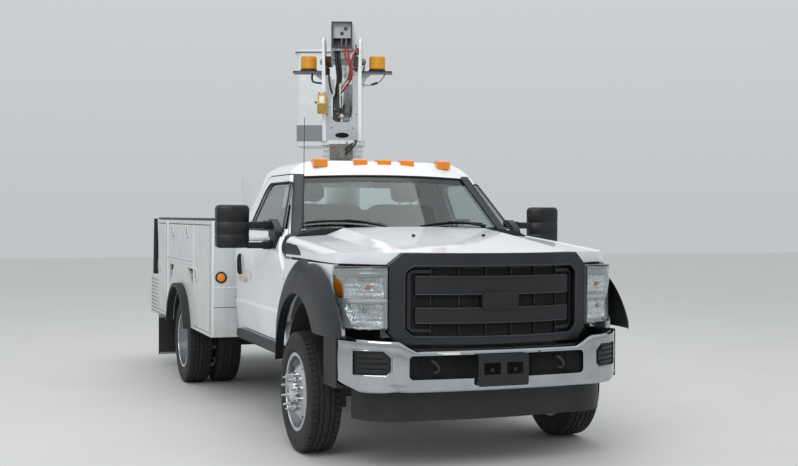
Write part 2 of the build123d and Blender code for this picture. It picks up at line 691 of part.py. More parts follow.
def build_front():
    """Front end nodes."""
    surround, bars = grille()
    nodes["grille_surround"] = surround
    nodes["grille_bars"] = bars
    nodes["hood"] = hood()
    nodes["fenders"] = both(fenders())
    nodes["fender_flares"] = both(flares()) + both(liner())
    nodes["headlamps"] = both(headlamp())
    nodes["bumper"] = bumper()
    nodes["lower_trim"] = lower_trim()


def place(shape):
    """Move from the front axle's frame to the middle of the truck."""
    return Pos(0, -MID_Y, 0) * shape


def at_wheel(shape, y):
    """Wheel parts are drawn about the X axis and set on their axle line."""
    return Pos(0, y, TYRE_R) * shape


# Cab fittings
def cowl():
    """Dark panel between the bonnet and the windscreen."""
    face = outline((-985, 1316), (-985, 1326), ((-945, 1420), (-860, 1468)), (-729, 1496), ((0, 1508), (729, 1496)),
                   (860, 1468), ((945, 1420), (985, 1326)), (985, 1316))
    panel = (along_y(face, COWL_Y, 900) - cab_volume(-SEAT)) & block(-1000, 1000, COWL_Y, 900, 1300, 1500)
    panel -= both(Pos(45, 0, 0) * cab_volume(-6) & block(935, 1100, 500, 1000, 1280, 1500))
    for x in HOOD_HINGES:
        panel += block(x - 11, x + 11, HOOD_HINGE_Y - 7, COWL_Y + 4, HINGE_Z - 7, HINGE_Z + 7)
        panel += rod_x(x - 28, x + 28, HOOD_HINGE_Y, HINGE_Z, 4)
    return panel


COWL_Y = 516.0


MARKERS = (-520.0, -197.0, 0.0, 197.0, 520.0)


def marker_lamps():
    """Row of small lamps along the front of the roof."""
    row = None
    cap = cab_volume(-SEAT)
    for x in MARKERS:
        y = 1232 + (abs(x) / 520) ** 2 * 26
        lamp = block(x - 56, x + 56, y - 44, y + 44, 1975, 2042)
        lamp = chamfer(lamp.faces().sort_by(Axis.Z)[-1].edges(), 12) - cap
        row = lamp if row is None else row + lamp
    return row


MIRROR_Z = (1347.0, 1668.0)
MIRROR_X = (1155.0, 1405.0)


def side_mirror():
    """Left mirror: head, two arms and the foot on the door."""
    x0, x1 = MIRROR_X
    z0, z1 = MIRROR_Z
    plan = outline((x0, 985), (x0, 915), ((1280, 868), (x1, 905)), (x1, 985))
    shell = along_z(plan, z0, z1)
    shell = fillet(shell.edges().filter_by(Axis.Y), 34)
    arms = block(985, 1190, 905, 950, 1503, 1548) + block(985, 1190, 905, 950, 1366, 1408)
    foot = along_x(outline((770, 1345), (770, 1475), (905, 1560), (960, 1560), (960, 1345)), 940, 1010)
    return (shell + arms + foot) - cab_volume(-SEAT)


def door_pull():
    """Left door's pull handle."""
    return block(CAB_W - 5, CAB_W + 32, 1848, 1878, 1104, 1274) - cab_volume(-SEAT)


def side_steps():
    """Sill covers below the doors."""
    face = outline((860, 590), (1000, 578), (1012, 600), (1008, SILL_Z - SEAT), (860, SILL_Z - SEAT))
    return both(along_y(face, 640, 1990))


# Utility body
COMPARTMENTS = (  # name, y0, y1, z0, z1, hinge side
    ("front_locker", 2208.0, 2980.0, 596.0, 1502.0),
    ("top_locker", 3004.0, 4305.0, 1178.0, 1502.0),
    ("rear_locker", 4446.0, 4950.0, 596.0, 1502.0),
)
LEAF_GAP = 7.0
FLOOR_T = 24.0


HINGE_X = BODY_HALF + 5


def pack_side():
    """Left bank of lockers with the wheel arch."""
    pack = block(PACK_IN, BODY_HALF - 2, BODY_Y0, BODY_Y1, BODY_Z0, BODY_Z1)
    for name, y0, y1, z0, z1 in COMPARTMENTS:
        g = LEAF_GAP
        pack -= block(PACK_IN + SHEET, BODY_HALF + 10, y0 - g, y1 + g, z0 - g, z1 + g)
    for name, y0, y1, z0, z1 in COMPARTMENTS:
        if name.startswith("top"):
            pack += rod_y(HINGE_X, y0 - 16, y1 + 16, z0 - 1, 3)
            for y in (y0 - 20, y1 + 8):
                pack += block(BODY_HALF - 4, HINGE_X + 6, y, y + 12, z0 - 14, z0 + 5)
        else:
            pack += rod_z(HINGE_X, y0 - 1, z0 - 16, z1 + 16, 3)
            for z in (z0 - 20, z1 + 8):
                pack += block(BODY_HALF - 4, HINGE_X + 6, y0 - 14, y0 + 5, z, z + 12)
    pack -= rod_x(PACK_IN + 14, BODY_HALF + 106, WHEELBASE + 9, ARCH_Z, ARCH_R)
    notch = outline((4006, 1102), (4254, 1102), (4254, 886))
    notch2 = outline((3001, 1102), (3253, 1102), (3041, 902), (3001, 902))
    pack -= along_x(notch, BODY_HALF - 24, BODY_HALF + 106)
    pack -= along_x(notch2, BODY_HALF - 24, BODY_HALF + 106)
    return pack


def service_body():
    """Both banks of lockers, bed floor, front wall and sills."""
    body = both(pack_side())
    inner = PACK_IN - SEAT
    body += block(-PACK_IN, PACK_IN, 2520, BODY_Y1, BED_Z - FLOOR_T, BED_Z)
    body += block(-PACK_IN, PACK_IN, 2520, 2545, BED_Z, 1420)
    body += block(-PACK_IN, PACK_IN, BODY_Y1 - 30, BODY_Y1, BED_Z, 1180)
    for y in (2600.0, 3100.0, 3581.0, 4080.0, 4600.0):
        body += block(-PACK_IN, PACK_IN, y - 45, y + 45, RAIL_Z1 + SEAT, BED_Z - FLOOR_T)
    body += block(-905, -840, 2200, 2265, BODY_Z1, 1911)
    return body


LATCH_IN = {"front_locker": 168.0, "rear_locker": 98.0}


def both_latches(*places):
    """Paddle latch plates on a left locker door at (Y, Z) places."""
    plates = None
    for y, z in places:
        plate = block(BODY_HALF - 1, BODY_HALF + 4, y - 62, y + 62, z - 52, z + 52)
        plates = plate if plates is None else plates + plate
    return plates


def locker_doors():
    """The six locker doors by name."""
    doors = {}
    for name, y0, y1, z0, z1 in COMPARTMENTS:
        leaf = block(BODY_HALF - LEAF, BODY_HALF, y0, y1, z0, z1)
        if name.startswith("top"):
            leaf += rod_y(HINGE_X, y0 + 4, y1 - 4, z0 - 1, 6)
            leaf -= rod_y(HINGE_X, y0 - 20, y1 + 20, z0 - 1, 3 + RUN)
            leaf += both_latches(((y0 + y1) / 2 - 400, z1 - 60), ((y0 + y1) / 2 + 400, z1 - 60))
        else:
            leaf += rod_z(HINGE_X, y0 - 1, z0 + 4, z1 - 4, 6)
            leaf -= rod_z(HINGE_X, y0 - 1, z0 - 20, z1 + 20, 3 + RUN)
            leaf += both_latches((y1 - LATCH_IN[name], 1068))
        doors[name + "_door_left"] = leaf
        doors[name + "_door_right"] = flip(leaf)
    return doors


def body_rubber():
    """Left arch lip, mud flap and top seal."""
    lip = rod_x(BODY_HALF - 2 + SEAT, LIP_OUT, WHEELBASE + 9, ARCH_Z, ARCH_R + 36)
    lip -= rod_x(BODY_HALF - 20, LIP_OUT + 38, WHEELBASE + 9, ARCH_Z, ARCH_R)
    lip = lip & block(BODY_HALF - 194, LIP_OUT + 138, 2500, 4700, BODY_Z0 - 10, 1200)
    flap = block(690, BODY_HALF + 46, 4640, 4650, 147, BODY_Z0 - SEAT)
    seal = block(BODY_HALF - 48, BODY_HALF - 4, BODY_Y0 + 20, BODY_Y1 - 20, BODY_Z1 + SEAT, BODY_Z1 + 18)
    return lip + flap + seal


STEP_RIBS = 10
STEP_Z = (528.0, 950.0)


def tail_deck():
    """Deck behind the body with ribbed side boxes and a hitch plate."""
    y0 = BODY_Y1 + SEAT
    deck = block(-DECK_HALF, DECK_HALF, y0, REAR_REACH, 912, 950)
    deck += block(75 - DECK_HALF, DECK_HALF - 75, y0 + 30, REAR_REACH - 12, 949, 954)
    deck += block(-760, 760, REAR_REACH - 110, REAR_REACH, 640, 912)
    box = block(760, DECK_HALF, y0, REAR_REACH - 20, STEP_Z[0], 912)
    pitch = (912 - STEP_Z[0]) / STEP_RIBS
    for k in range(STEP_RIBS):
        z = STEP_Z[0] + (k + 0.5) * pitch
        box -= block(DECK_HALF - 16, DECK_HALF + 20, y0 - 1, REAR_REACH - 60, z - 9, z + 9)
    deck += both(box)
    plate = block(-190, 190, REAR_REACH - 60, REAR_REACH - 40, 430, 640)
    for x in (-42.5, 42.5):
        for z in (505.0, 590.0):
            plate -= rod_y(x, REAR_REACH - 80, REAR_REACH, z, 8.5)
    deck += plate
    deck += block(-RAIL_OUT, RAIL_OUT, y0 - 0, REAR_REACH - 110, 760, 800)
    deck += block(-RAIL_OUT, RAIL_OUT, y0 - 0, y0 + 30, 800, 912)
    return deck


def grab_posts():
    """Tapered posts at the corners of the tail deck."""
    foot = Plane(origin=(DECK_HALF - 30, REAR_REACH - 183, 950 + SEAT)) * Rectangle(58, 62)
    head = Plane(origin=(DECK_HALF - 26, REAR_REACH - 183, 1552)) * Rectangle(34, 38)
    return both(loft([foot, head]))


def tail_lamps():
    """Round-ended lamps let into the back of the side boxes."""
    pair = None
    for x in (860.0, 1050.0):
        lamp = along_y(Pos(x, 730) * SlotOverall(165, 66), REAR_REACH - 20 + SEAT, REAR_REACH - 4)
        pair = lamp if pair is None else pair + lamp
    return both(pair)


def slewed(shape):
    """Lift parts are drawn pointing straight back and turned to the parked bearing."""
    return Pos(0, PEDESTAL_Y, 0) * Rot(0, 0, -SLEW) * shape


REST_Y = 2300.0


def boom_rest():
    """Post on the locker roof that carries the parked boom."""
    post = block(-45, 45, REST_Y - 45, REST_Y + 45, BODY_Z1 + SEAT, 2980)
    post += block(-95, 95, REST_Y - 60, REST_Y + 60, 2980, BOOM_Z0 - SEAT)
    post += block(-120, 120, REST_Y - 100, REST_Y + 100, BODY_Z1 + SEAT, BODY_Z1 + 16)
    return slewed(post)


# Lift
def pedestal():
    """Column on the chassis with its slewing ring."""
    column = rod_z(0, PEDESTAL_Y, RAIL_Z1 + 20, 2060, PEDESTAL_R)
    column += rod_z(0, PEDESTAL_Y, 2060, TURN_Z - SEAT, RING_R - 8)
    for z in (2066.0, 2112.0, 2158.0):
        column += rod_z(0, PEDESTAL_Y, z, z + 26, RING_R)
    foot = block(-RAIL_OUT, RAIL_OUT, PEDESTAL_Y - 210, PEDESTAL_Y + 210, RAIL_Z1 + SEAT, RAIL_Z1 + 22)
    rib = block(-330, 330, PEDESTAL_Y - 9, PEDESTAL_Y + 9, RAIL_Z1 + 22, 1150)
    rib += block(-9, 9, PEDESTAL_Y - 200, PEDESTAL_Y + 200, RAIL_Z1 + 22, 1150)
    return column + foot + rib


FRONT_LEAN = along_x(outline((-140, TURN_Z + 34), (-230, 2795), (-214, 2795), (-124, TURN_Z + 34)), -200, 200)


def turntable():
    """Turning base, slotted front plate, two cheeks, pins and lamp brackets."""
    base = rod_z(0, 0, TURN_Z, TURN_Z + 34, 196)
    base += block(-110, 110, -300, 0, TURN_Z, TURN_Z + 34)
    front = along_y(outline((-156, TURN_Z + 34), (-170, 2795), (170, 2795), (156, TURN_Z + 34)), -400, 100)
    plate = front & FRONT_LEAN
    plate -= block(-93, 93, -400, 0, 2403, 3000)
    plate -= along_y(Pos(0, 2290) * SlotOverall(120, 46), -400, 0)
    side = outline((-130, TURN_Z + 34), (-220, 2795), (-236, 3090), ((-150, 3134), (-20, 3134)),
                   ((60, 3110), (96, 3040)), (180, 2480), (185, TURN_Z + 34))
    cheek = along_x(side, CHEEK_X, CHEEK_X + CHEEK_T)
    boss = rod_x(102, CHEEK_X, PIVOT_Y, PIVOT_Z, 46)
    table = base + plate + both(cheek) + both(boss)
    table += block(-CHEEK_X, CHEEK_X, 150, 166, TURN_Z + 34, 2470)
    table += rod_x(-192, 192, PIVOT_Y, PIVOT_Z, PIVOT_R)
    y, z = RAM_FOOT
    for x in (RAM_X - 46, RAM_X + 32):
        ear = along_x(outline((y - 34, TURN_Z + 34), (y - 34, z), ((y, z + 34), (y + 34, z)), (y + 90, TURN_Z + 34)),
                      x, x + 14)
        table += ear
    table += rod_x(RAM_X - 46, RAM_X + 46, y, z, 18)
    wing = block(CHEEK_X + CHEEK_T, 428, -130, 20, 2838, 2850)
    wing += along_y(outline((CHEEK_X + CHEEK_T, 2760), (CHEEK_X + CHEEK_T, 2838), (260, 2838)), -60, -50)
    table += both(wing)
    return slewed(table)


def slew_drive():
    """Gearbox hanging from the front of the turning base."""
    box = block(-97, 97, -300, -190, 2072, TURN_Z - SEAT)
    box += rod_z(0, -245, 2050, 2080, 40)
    return slewed(box)


def beacons():
    """Flashing lamps on the two brackets."""
    lamp = rod_z(300, -55, 2850 + SEAT, 2876, 76) + rod_z(300, -55, 2876, 2986, 68)
    return slewed(both(lamp))


def control_box():
    """Lower control box on the front plate."""
    box = block(-205, -132, -262, -212, 2469, 2640)
    return slewed(box + block(-205, -CHEEK_X - CHEEK_T - SEAT, -214, -160, 2500, 2600))


PAD_RUN = 0.5


def boom_outer():
    """Hinged boom section with side lugs, butt frame and cylinder lug."""
    half = BOOM_W / 2
    z1 = BOOM_Z0 + BOOM_H
    boom = block(-half, half, BOOM_BUTT, BOOM_MOUTH, BOOM_Z0, z1)
    boom -= block(-half + BOOM_WALL, half - BOOM_WALL, BOOM_BUTT - 1, BOOM_MOUTH + 1, BOOM_Z0 + BOOM_WALL,
                  z1 - BOOM_WALL)
    pads = block(-half + BOOM_WALL - 1, half - BOOM_WALL + 1, BOOM_MOUTH - 90, BOOM_MOUTH - 10, BOOM_Z0 + BOOM_WALL - 1,
                 z1 - BOOM_WALL + 1)
    mid = BOOM_Z0 + BOOM_H / 2
    reach, rise = INNER_W / 2 + PAD_RUN, INNER_H / 2 + PAD_RUN
    boom += pads - block(-reach, reach, 0, 3000, mid - rise, mid + rise)
    lug = outline((PIVOT_Y - 150, z1 - 30), (PIVOT_Y - 150, BOOM_Z0), (PIVOT_Y - 46, PIVOT_Z),
                  ((PIVOT_Y, PIVOT_Z - 46), (PIVOT_Y + 46, PIVOT_Z)), (PIVOT_Y + 190, BOOM_Z0), (PIVOT_Y + 190, z1 - 30))
    side = along_x(lug, half, half + 12)
    side -= rod_x(0, 200, PIVOT_Y, PIVOT_Z, PIVOT_R + RUN)
    boom += both(side)
    y, z = RAM_EYE
    for x in (RAM_X - 46, RAM_X + 34):
        ear = along_x(outline((y - 80, BOOM_Z0), (y - 32, z), ((y, z - 32), (y + 32, z)), (y + 80, BOOM_Z0)), x, x + 12)
        boom += ear
    for x in (RAM_X - 58, RAM_X + 46):
        boom += rod_x(x, x + 12, y, z, 24)
    return slewed(boom)


def boom_inner():
    """Sliding boom section with the head that carries the bucket."""
    half = INNER_W / 2
    mid = BOOM_Z0 + BOOM_H / 2
    low, high = mid - INNER_H / 2, mid + INNER_H / 2
    boom = block(-half, half, INNER_Y0, INNER_Y1, low, high)
    boom -= block(-half + BOOM_WALL, half - BOOM_WALL, INNER_Y0 - 1, INNER_Y1 - 30, low + BOOM_WALL, high - BOOM_WALL)
    reach = BOOM_W / 2 - BOOM_WALL - PAD_RUN
    rise = BOOM_H / 2 - BOOM_WALL - PAD_RUN
    pads = block(-reach, reach, INNER_Y0, INNER_Y0 + 80, mid - rise, mid + rise)
    boom += pads - block(-half + 1, half - 1, INNER_Y0 - 1, INNER_Y0 + 81, low + 1, high - 1)
    boom += rod_x(-74, 62, TIP_Y, mid, 58)
    boom -= rod_x(-200, 200, TIP_Y, mid, 26 + RUN)
    return slewed(boom)


def bucket_bracket():
    """Shaft and plate that hold the bucket level beside the boom head."""
    mid = BOOM_Z0 + BOOM_H / 2
    shaft = rod_x(-BUCKET_IN, 82, TIP_Y, mid, 26)
    shaft += rod_x(70, 84, TIP_Y, mid, 44)
    wall = -BUCKET_IN - (BUCKET_TOP - BUCKET_FOOT) / 2
    plate = block(wall, -BUCKET_IN + 3, TIP_Y - 120, TIP_Y + 120, mid - 190, mid + 130)
    return slewed(shaft + plate)


def bucket():
    """One-person bucket with rolled rim and foot band."""
    x = -BUCKET_IN - SEAT - BUCKET_TOP / 2
    z0, z1 = BUCKET_Z0, BUCKET_Z0 + BUCKET_H

    def plan(size, z, r):
        return Plane(origin=(x, TIP_Y, z)) * RectangleRounded(size, size, r)
    wall = loft([plan(BUCKET_FOOT, z0, 60), plan(BUCKET_TOP - 30, z1 - 40, 60)])
    hollow = loft([plan(BUCKET_FOOT - 2 * BUCKET_WALL, z0 + BUCKET_WALL, 52),
                   plan(BUCKET_TOP - 30 - 2 * BUCKET_WALL, z1 - 39, 52)])
    rim = extrude(plan(BUCKET_TOP, z1 - 40, 68), amount=40) - extrude(plan(BUCKET_TOP - 60, z1 - 41, 50), amount=42)
    return slewed(wall - hollow + rim)


def ram_axes():
    """Unit vector along the lift cylinder and its parked length."""
    dy, dz = RAM_EYE[0] - RAM_FOOT[0], RAM_EYE[1] - RAM_FOOT[1]
    length = math.hypot(dy, dz)
    return dy / length, dz / length, length


def ram_point(along):
    """Point on the lift cylinder's axis."""
    uy, uz, length = ram_axes()
    return (RAM_X, RAM_FOOT[0] + uy * along, RAM_FOOT[1] + uz * along)


RAM_BARREL = 520.0


def lift_barrel():
    """Cylinder barrel with its eye on the turntable."""
    y, z = RAM_FOOT
    barrel = rod_to(ram_point(64), ram_point(RAM_BARREL), RAM_R) + rod_to(ram_point(0), ram_point(70), 26)
    barrel += rod_x(RAM_X - 28, RAM_X + 28, y, z, 38)
    barrel -= rod_x(RAM_X - 60, RAM_X + 60, y, z, 18 + RUN)
    barrel -= rod_to(ram_point(90), ram_point(RAM_BARREL + 1), ROD_R + RUN)
    return slewed(barrel)


def lift_rod():
    """Cylinder rod with its eye on the boom."""
    uy, uz, length = ram_axes()
    y, z = RAM_EYE
    rod = rod_to(ram_point(100), ram_point(length - 20), ROD_R)
    rod += rod_x(RAM_X - 30, RAM_X + 30, y, z, 32)
    return slewed(rod)


def build_body():
    """Utility body nodes."""
    nodes["service_body"] = service_body()
    nodes.update(locker_doors())
    nodes["body_rubber"] = both(body_rubber())
    nodes["tail_deck"] = tail_deck()
    nodes["grab_posts"] = grab_posts()
    nodes["tail_lamps"] = tail_lamps()


def build_lift():
    """Lift nodes."""
    nodes["boom_rest"] = boom_rest()
    nodes["pedestal"] = pedestal()
    nodes["turntable"] = turntable()
    nodes["slew_drive"] = slew_drive()
    nodes["beacons"] = beacons()
    nodes["control_box"] = control_box()
    nodes["boom_outer"] = boom_outer()
    nodes["boom_inner"] = boom_inner()
    nodes["bucket_bracket"] = bucket_bracket()
    nodes["bucket"] = bucket()
    nodes["lift_barrel"] = lift_barrel()
    nodes["lift_rod"] = lift_rod()


def build_fittings():
    """Cab fittings."""
    nodes["cowl"] = cowl()
    nodes["marker_lamps"] = marker_lamps()
    fittings = side_mirror() + door_pull()
    nodes["door_fittings_left"] = fittings
    nodes["door_fittings_right"] = flip(fittings)
    nodes["side_steps"] = side_steps()


def build_chassis():
    """Frame and running gear nodes."""
    nodes["frame_rails"] = frame_rails()
    nodes["engine_block"] = engine_block()
    nodes["driveline"] = driveline()
    nodes["fuel_tank"] = fuel_tank()
    nodes["front_axle"] = front_axle()
    nodes["rear_axle"] = rear_axle()
    wheels = {
        "knuckle": knuckle(),
        "front_tyre": at_wheel(tyre(FRONT_TRACK / 2), 0),
        "front_rim": at_wheel(front_rim(), 0),
        "rear_tyres": at_wheel(tyre(REAR_TRACK / 2 - TWIN_SPACING / 2) + tyre(REAR_TRACK / 2 + TWIN_SPACING / 2),
                               WHEELBASE),
        "rear_rims": at_wheel(rear_rims(), WHEELBASE),
    }
    for name, shape in wheels.items():
        nodes[name + "_left"] = shape
        nodes[name + "_right"] = flip(shape)


def build_cab():
    """Cab nodes."""
    shell, door, glass, pane = cab()
    nodes["cab_shell"] = shell
    nodes["cab_glass"] = glass
    nodes["door_left"] = door
    nodes["door_right"] = flip(door)
    nodes["door_glass_left"] = pane
    nodes["door_glass_right"] = flip(pane)
    seat, dash = cab_interior()
    nodes["cab_interior"] = seat + dash


build_chassis()
build_cab()
build_front()
build_fittings()
build_body()
build_lift()

for name, shape in nodes.items():
    export_step(place(shape), "parts/" + name + ".step")
    print(name, len(shape.solids()), shape.is_valid)
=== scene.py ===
"""Dressed cherry picker truck: finishes, tyres, lamps, trim, hoses and fittings over the CAD frame.

Pieces are drawn in millimetres from the front axle's centre on the ground, X to the truck's left,
Y to its rear and Z up, and moved to the middle of the truck, in metres, when they are made.
"""

import json
import logging
import math
from collections.abc import Iterable, Sequence
from dataclasses import dataclass, field
from enum import Enum

import bmesh
import bpy
from mathutils import Matrix, Vector

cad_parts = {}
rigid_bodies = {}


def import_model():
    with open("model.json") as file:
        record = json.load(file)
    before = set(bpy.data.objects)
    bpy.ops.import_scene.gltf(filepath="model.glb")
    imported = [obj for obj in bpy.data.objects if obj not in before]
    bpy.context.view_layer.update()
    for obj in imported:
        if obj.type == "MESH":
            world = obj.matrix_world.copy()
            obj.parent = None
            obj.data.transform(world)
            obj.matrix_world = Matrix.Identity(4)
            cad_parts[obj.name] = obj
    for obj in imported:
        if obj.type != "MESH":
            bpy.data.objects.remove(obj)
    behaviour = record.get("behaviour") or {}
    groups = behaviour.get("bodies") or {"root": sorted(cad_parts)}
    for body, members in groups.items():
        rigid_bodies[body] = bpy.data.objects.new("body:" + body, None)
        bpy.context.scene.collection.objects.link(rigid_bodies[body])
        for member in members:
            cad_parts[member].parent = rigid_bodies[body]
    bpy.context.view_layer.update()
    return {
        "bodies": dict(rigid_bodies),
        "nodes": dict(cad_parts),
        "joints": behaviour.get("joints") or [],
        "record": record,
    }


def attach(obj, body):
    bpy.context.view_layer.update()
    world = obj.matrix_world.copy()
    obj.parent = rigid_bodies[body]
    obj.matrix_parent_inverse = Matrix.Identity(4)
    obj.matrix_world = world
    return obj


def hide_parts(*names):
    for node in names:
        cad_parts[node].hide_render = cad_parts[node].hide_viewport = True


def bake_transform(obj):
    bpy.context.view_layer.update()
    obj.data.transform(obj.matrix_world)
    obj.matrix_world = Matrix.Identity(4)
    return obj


LOG = logging.getLogger("cherry_picker")
MID_Y = 2274.0
WHEELBASE = 3581.0
AXLE_Z = 405.0
SLEW = math.radians(21.0)
PEDESTAL_Y = 2275.0
LIFT = Matrix.Translation((0, PEDESTAL_Y, 0)) @ Matrix.Rotation(-SLEW, 4, "Z")
SMOOTH_UNDER = math.radians(40)
BEVEL_OVER = math.radians(35)
COAT_ROUGHNESS = 0.05
Point = Sequence[float]


class Side(Enum):
    """Side of the truck, as the sign of X."""

    LEFT = 1
    RIGHT = -1

    @property
    def word(self) -> str:
        """Ending used in names."""
        return self.name.lower()


def linear(code: str) -> tuple[float, float, float, float]:
    """Turn an sRGB hex colour into linear light.

    Args:
        code: Colour such as "#a0b1c2".

    Returns:
        Red, green, blue and alpha.
    """
    parts = [int(code[i:i + 2], 16) / 255 for i in (1, 3, 5)]
    red, green, blue = [c / 12.92 if c <= 0.04045 else ((c + 0.055) / 1.055) ** 2.4 for c in parts]
    return red, green, blue, 1.0


def per_metre(size_mm: float) -> float:
    """Pattern scale whose features are size_mm across."""
    return 1000.0 / size_mm


def add(tree: bpy.types.NodeTree, kind: str, inputs: dict | None = None,
        **settings: object) -> bpy.types.Node:
    """Add a node, set it up and link it.

    Args:
        tree: Node tree that gets the node.
        kind: Blender's name for the node type.
        inputs: Values or output sockets by input name or number.
        settings: Properties of the node.

    Returns:
        The new node.
    """
    node = tree.nodes.new(kind)
    for key, value in settings.items():
        setattr(node, key, value)
    for key, value in (inputs or {}).items():
        if isinstance(value, bpy.types.NodeSocket):
            tree.links.new(value, node.inputs[key])
        else:
            node.inputs[key].default_value = value
    return node


@dataclass
class Surface:
    """Sockets that layers change one after another."""

    tree: bpy.types.NodeTree
    shader: bpy.types.Node
    place: bpy.types.NodeSocket
    colour: object
    roughness: object
    metallic: object
    height: object = None
    normal: object = None

    def noise(self, size_mm: float, detail: float = 3.0, stretch: Point = (1, 1, 1)) -> bpy.types.NodeSocket:
        """Cloudy pattern.

        Args:
            size_mm: Width of its patches.
            detail: Octaves of finer noise.
            stretch: Share of that width along each axis.

        Returns:
            Value from 0 to 1.
        """
        place = self.place
        if tuple(stretch) != (1, 1, 1):
            place = add(self.tree, "ShaderNodeVectorMath", {0: place, 1: [1 / s for s in stretch]},
                        operation="MULTIPLY").outputs[0]
        return add(self.tree, "ShaderNodeTexNoise",
                   {"Vector": place, "Scale": per_metre(size_mm), "Detail": detail}
                   ).outputs["Fac"]

    def ramp(self, value: object, low: float, high: float, top: float = 1.0) -> bpy.types.NodeSocket:
        """Value stretched so that low gives 0 and high gives top."""
        return add(self.tree, "ShaderNodeMapRange",
                   {"Value": value, "From Min": low, "From Max": high, "To Max": top}
                   ).outputs[0]

    def sum(self, first: object, second: object, operation: str = "MULTIPLY") -> bpy.types.NodeSocket:
        """Two values joined by a sum of the kind named."""
        return add(self.tree, "ShaderNodeMath", {0: first, 1: second}, operation=operation).outputs[0]

    def tint(self, share: object, code: str) -> None:
        """Lay a colour over the surface where share is high."""
        mix = add(self.tree, "ShaderNodeMix", {0: share, 6: self.colour, 7: linear(code)}, data_type="RGBA")
        self.colour = mix.outputs[2]

    def dull(self, share: object, roughness: float) -> None:
        """Change the roughness where share is high."""
        mix = add(self.tree, "ShaderNodeMix", {0: share, 2: self.roughness, 3: roughness}, data_type="FLOAT")
        self.roughness = mix.outputs[0]

    def emboss(self, value: object, height_mm: float) -> None:
        """Raise the surface by value times a height.

        Args:
            value: Pattern, from 0 to 1.
            height_mm: Height at 1.
        """
        bump = add(self.tree, "ShaderNodeBump",
                   {"Height": value, "Distance": height_mm / 1000, "Strength": 1.0})
        if self.normal is not None:
            self.tree.links.new(self.normal, bump.inputs["Normal"])
        self.normal = bump.outputs[0]


@dataclass(frozen=True)
class Layer:
    """One trait of a finish."""

    def apply(self, on: Surface) -> None:
        """Change the surface's sockets."""
        raise NotImplementedError


@dataclass(frozen=True)
class Rounded(Layer):
    """Edges that the press or the mould leaves round."""

    radius_mm: float = 3.0

    def apply(self, on: Surface) -> None:
        """Bend the normal near edges."""
        on.normal = add(on.tree, "ShaderNodeBevel", {"Radius": self.radius_mm / 1000}, samples=4).outputs[0]


@dataclass(frozen=True)
class Mottle(Layer):
    """Slow change of colour over the surface."""

    size_mm: float
    code: str
    share: float = 0.3
    stretch: tuple[float, float, float] = (1, 1, 1)

    def apply(self, on: Surface) -> None:
        """Tint patches."""
        on.tint(on.ramp(on.noise(self.size_mm, 4.0, self.stretch), 0.4, 0.7, self.share), self.code)


@dataclass(frozen=True)
class Grain(Layer):
    """Fine relief: moulded grain, orange peel, casting skin."""

    size_mm: float
    height_mm: float
    stretch: tuple[float, float, float] = (1, 1, 1)

    def apply(self, on: Surface) -> None:
        """Raise the grain."""
        on.emboss(on.noise(self.size_mm, 2.0, self.stretch), self.height_mm)


@dataclass(frozen=True)
class Smudge(Layer):
    """Patches of duller surface left by hands, water and dust."""

    size_mm: float
    roughness: float
    share: float = 0.6

    def apply(self, on: Surface) -> None:
        """Dull the patches."""
        on.dull(on.ramp(on.noise(self.size_mm, 4.0), 0.38, 0.7, self.share), self.roughness)


@dataclass(frozen=True)
class RoadDirt(Layer):
    """Spray from the road, thicker towards the ground and in vertical runs."""

    top_mm: float
    code: str = "#6d6a62"
    share: float = 0.5

    def apply(self, on: Surface) -> None:
        """Tint and dull by height, broken up by runs.

        Args:
            on: The surface.
        """
        split = add(on.tree, "ShaderNodeSeparateXYZ", {0: on.place})
        low = on.ramp(split.outputs[2], self.top_mm / 1000, 0.25 * self.top_mm / 1000)
        runs = on.ramp(on.noise(38, 5.0, (1, 1, 6)), 0.35, 0.72)
        cloud = on.ramp(on.noise(160, 3.0), 0.3, 0.75)
        share = on.sum(on.sum(low, on.sum(runs, cloud, "ADD")), self.share)
        on.tint(share, self.code)
        on.dull(share, 0.75)


@dataclass(frozen=True)
class RustChips(Layer):
    """Paint broken through to brown rust, with stains running down from the chips."""

    size_mm: float = 26.0
    share: float = 0.62
    code: str = "#6b3d22"
    stain: str = "#a5703f"

    def apply(self, on: Surface) -> None:
        """Cut the chips and their stains.

        Args:
            on: The surface.
        """
        stain = on.ramp(on.noise(self.size_mm * 1.6, 4.0, (1, 1, 5)), self.share + 0.01, self.share + 0.16,
                        0.55)
        on.tint(stain, self.stain)
        chip = on.ramp(on.noise(self.size_mm, 6.0), self.share + 0.05, self.share + 0.075)
        on.tint(chip, self.code)
        on.dull(chip, 0.9)
        on.emboss(on.sum(1.0, chip, "SUBTRACT"), 0.25)


@dataclass(frozen=True)
class EdgeWear(Layer):
    """Corners rubbed through or lined with dirt."""

    radius_mm: float
    code: str
    share: float = 0.7

    def apply(self, on: Surface) -> None:
        """Tint where the surface turns within the radius.

        Args:
            on: The surface.
        """
        bent = add(on.tree, "ShaderNodeBevel", {"Radius": self.radius_mm / 1000}, samples=4)
        flat = add(on.tree, "ShaderNodeNewGeometry")
        dot = add(on.tree, "ShaderNodeVectorMath", {0: bent.outputs[0], 1: flat.outputs["Normal"]},
                  operation="DOT_PRODUCT")
        edge = on.ramp(dot.outputs["Value"], 0.985, 0.86)
        broken = on.ramp(on.noise(14, 5.0), 0.42, 0.6)
        share = on.sum(on.sum(edge, broken), self.share)
        on.tint(share, self.code)
        on.dull(share, 0.8)


@dataclass(frozen=True)
class Brushed(Layer):
    """Fine parallel scratches."""

    size_mm: float
    height_mm: float
    along: tuple[float, float, float]

    def apply(self, on: Surface) -> None:
        """Scratch the surface and vary its gloss.

        Args:
            on: The surface.
        """
        lines = on.noise(self.size_mm, 3.0, self.along)
        on.emboss(lines, self.height_mm)
        on.dull(on.ramp(lines, 0.35, 0.65, 0.6), 0.42)


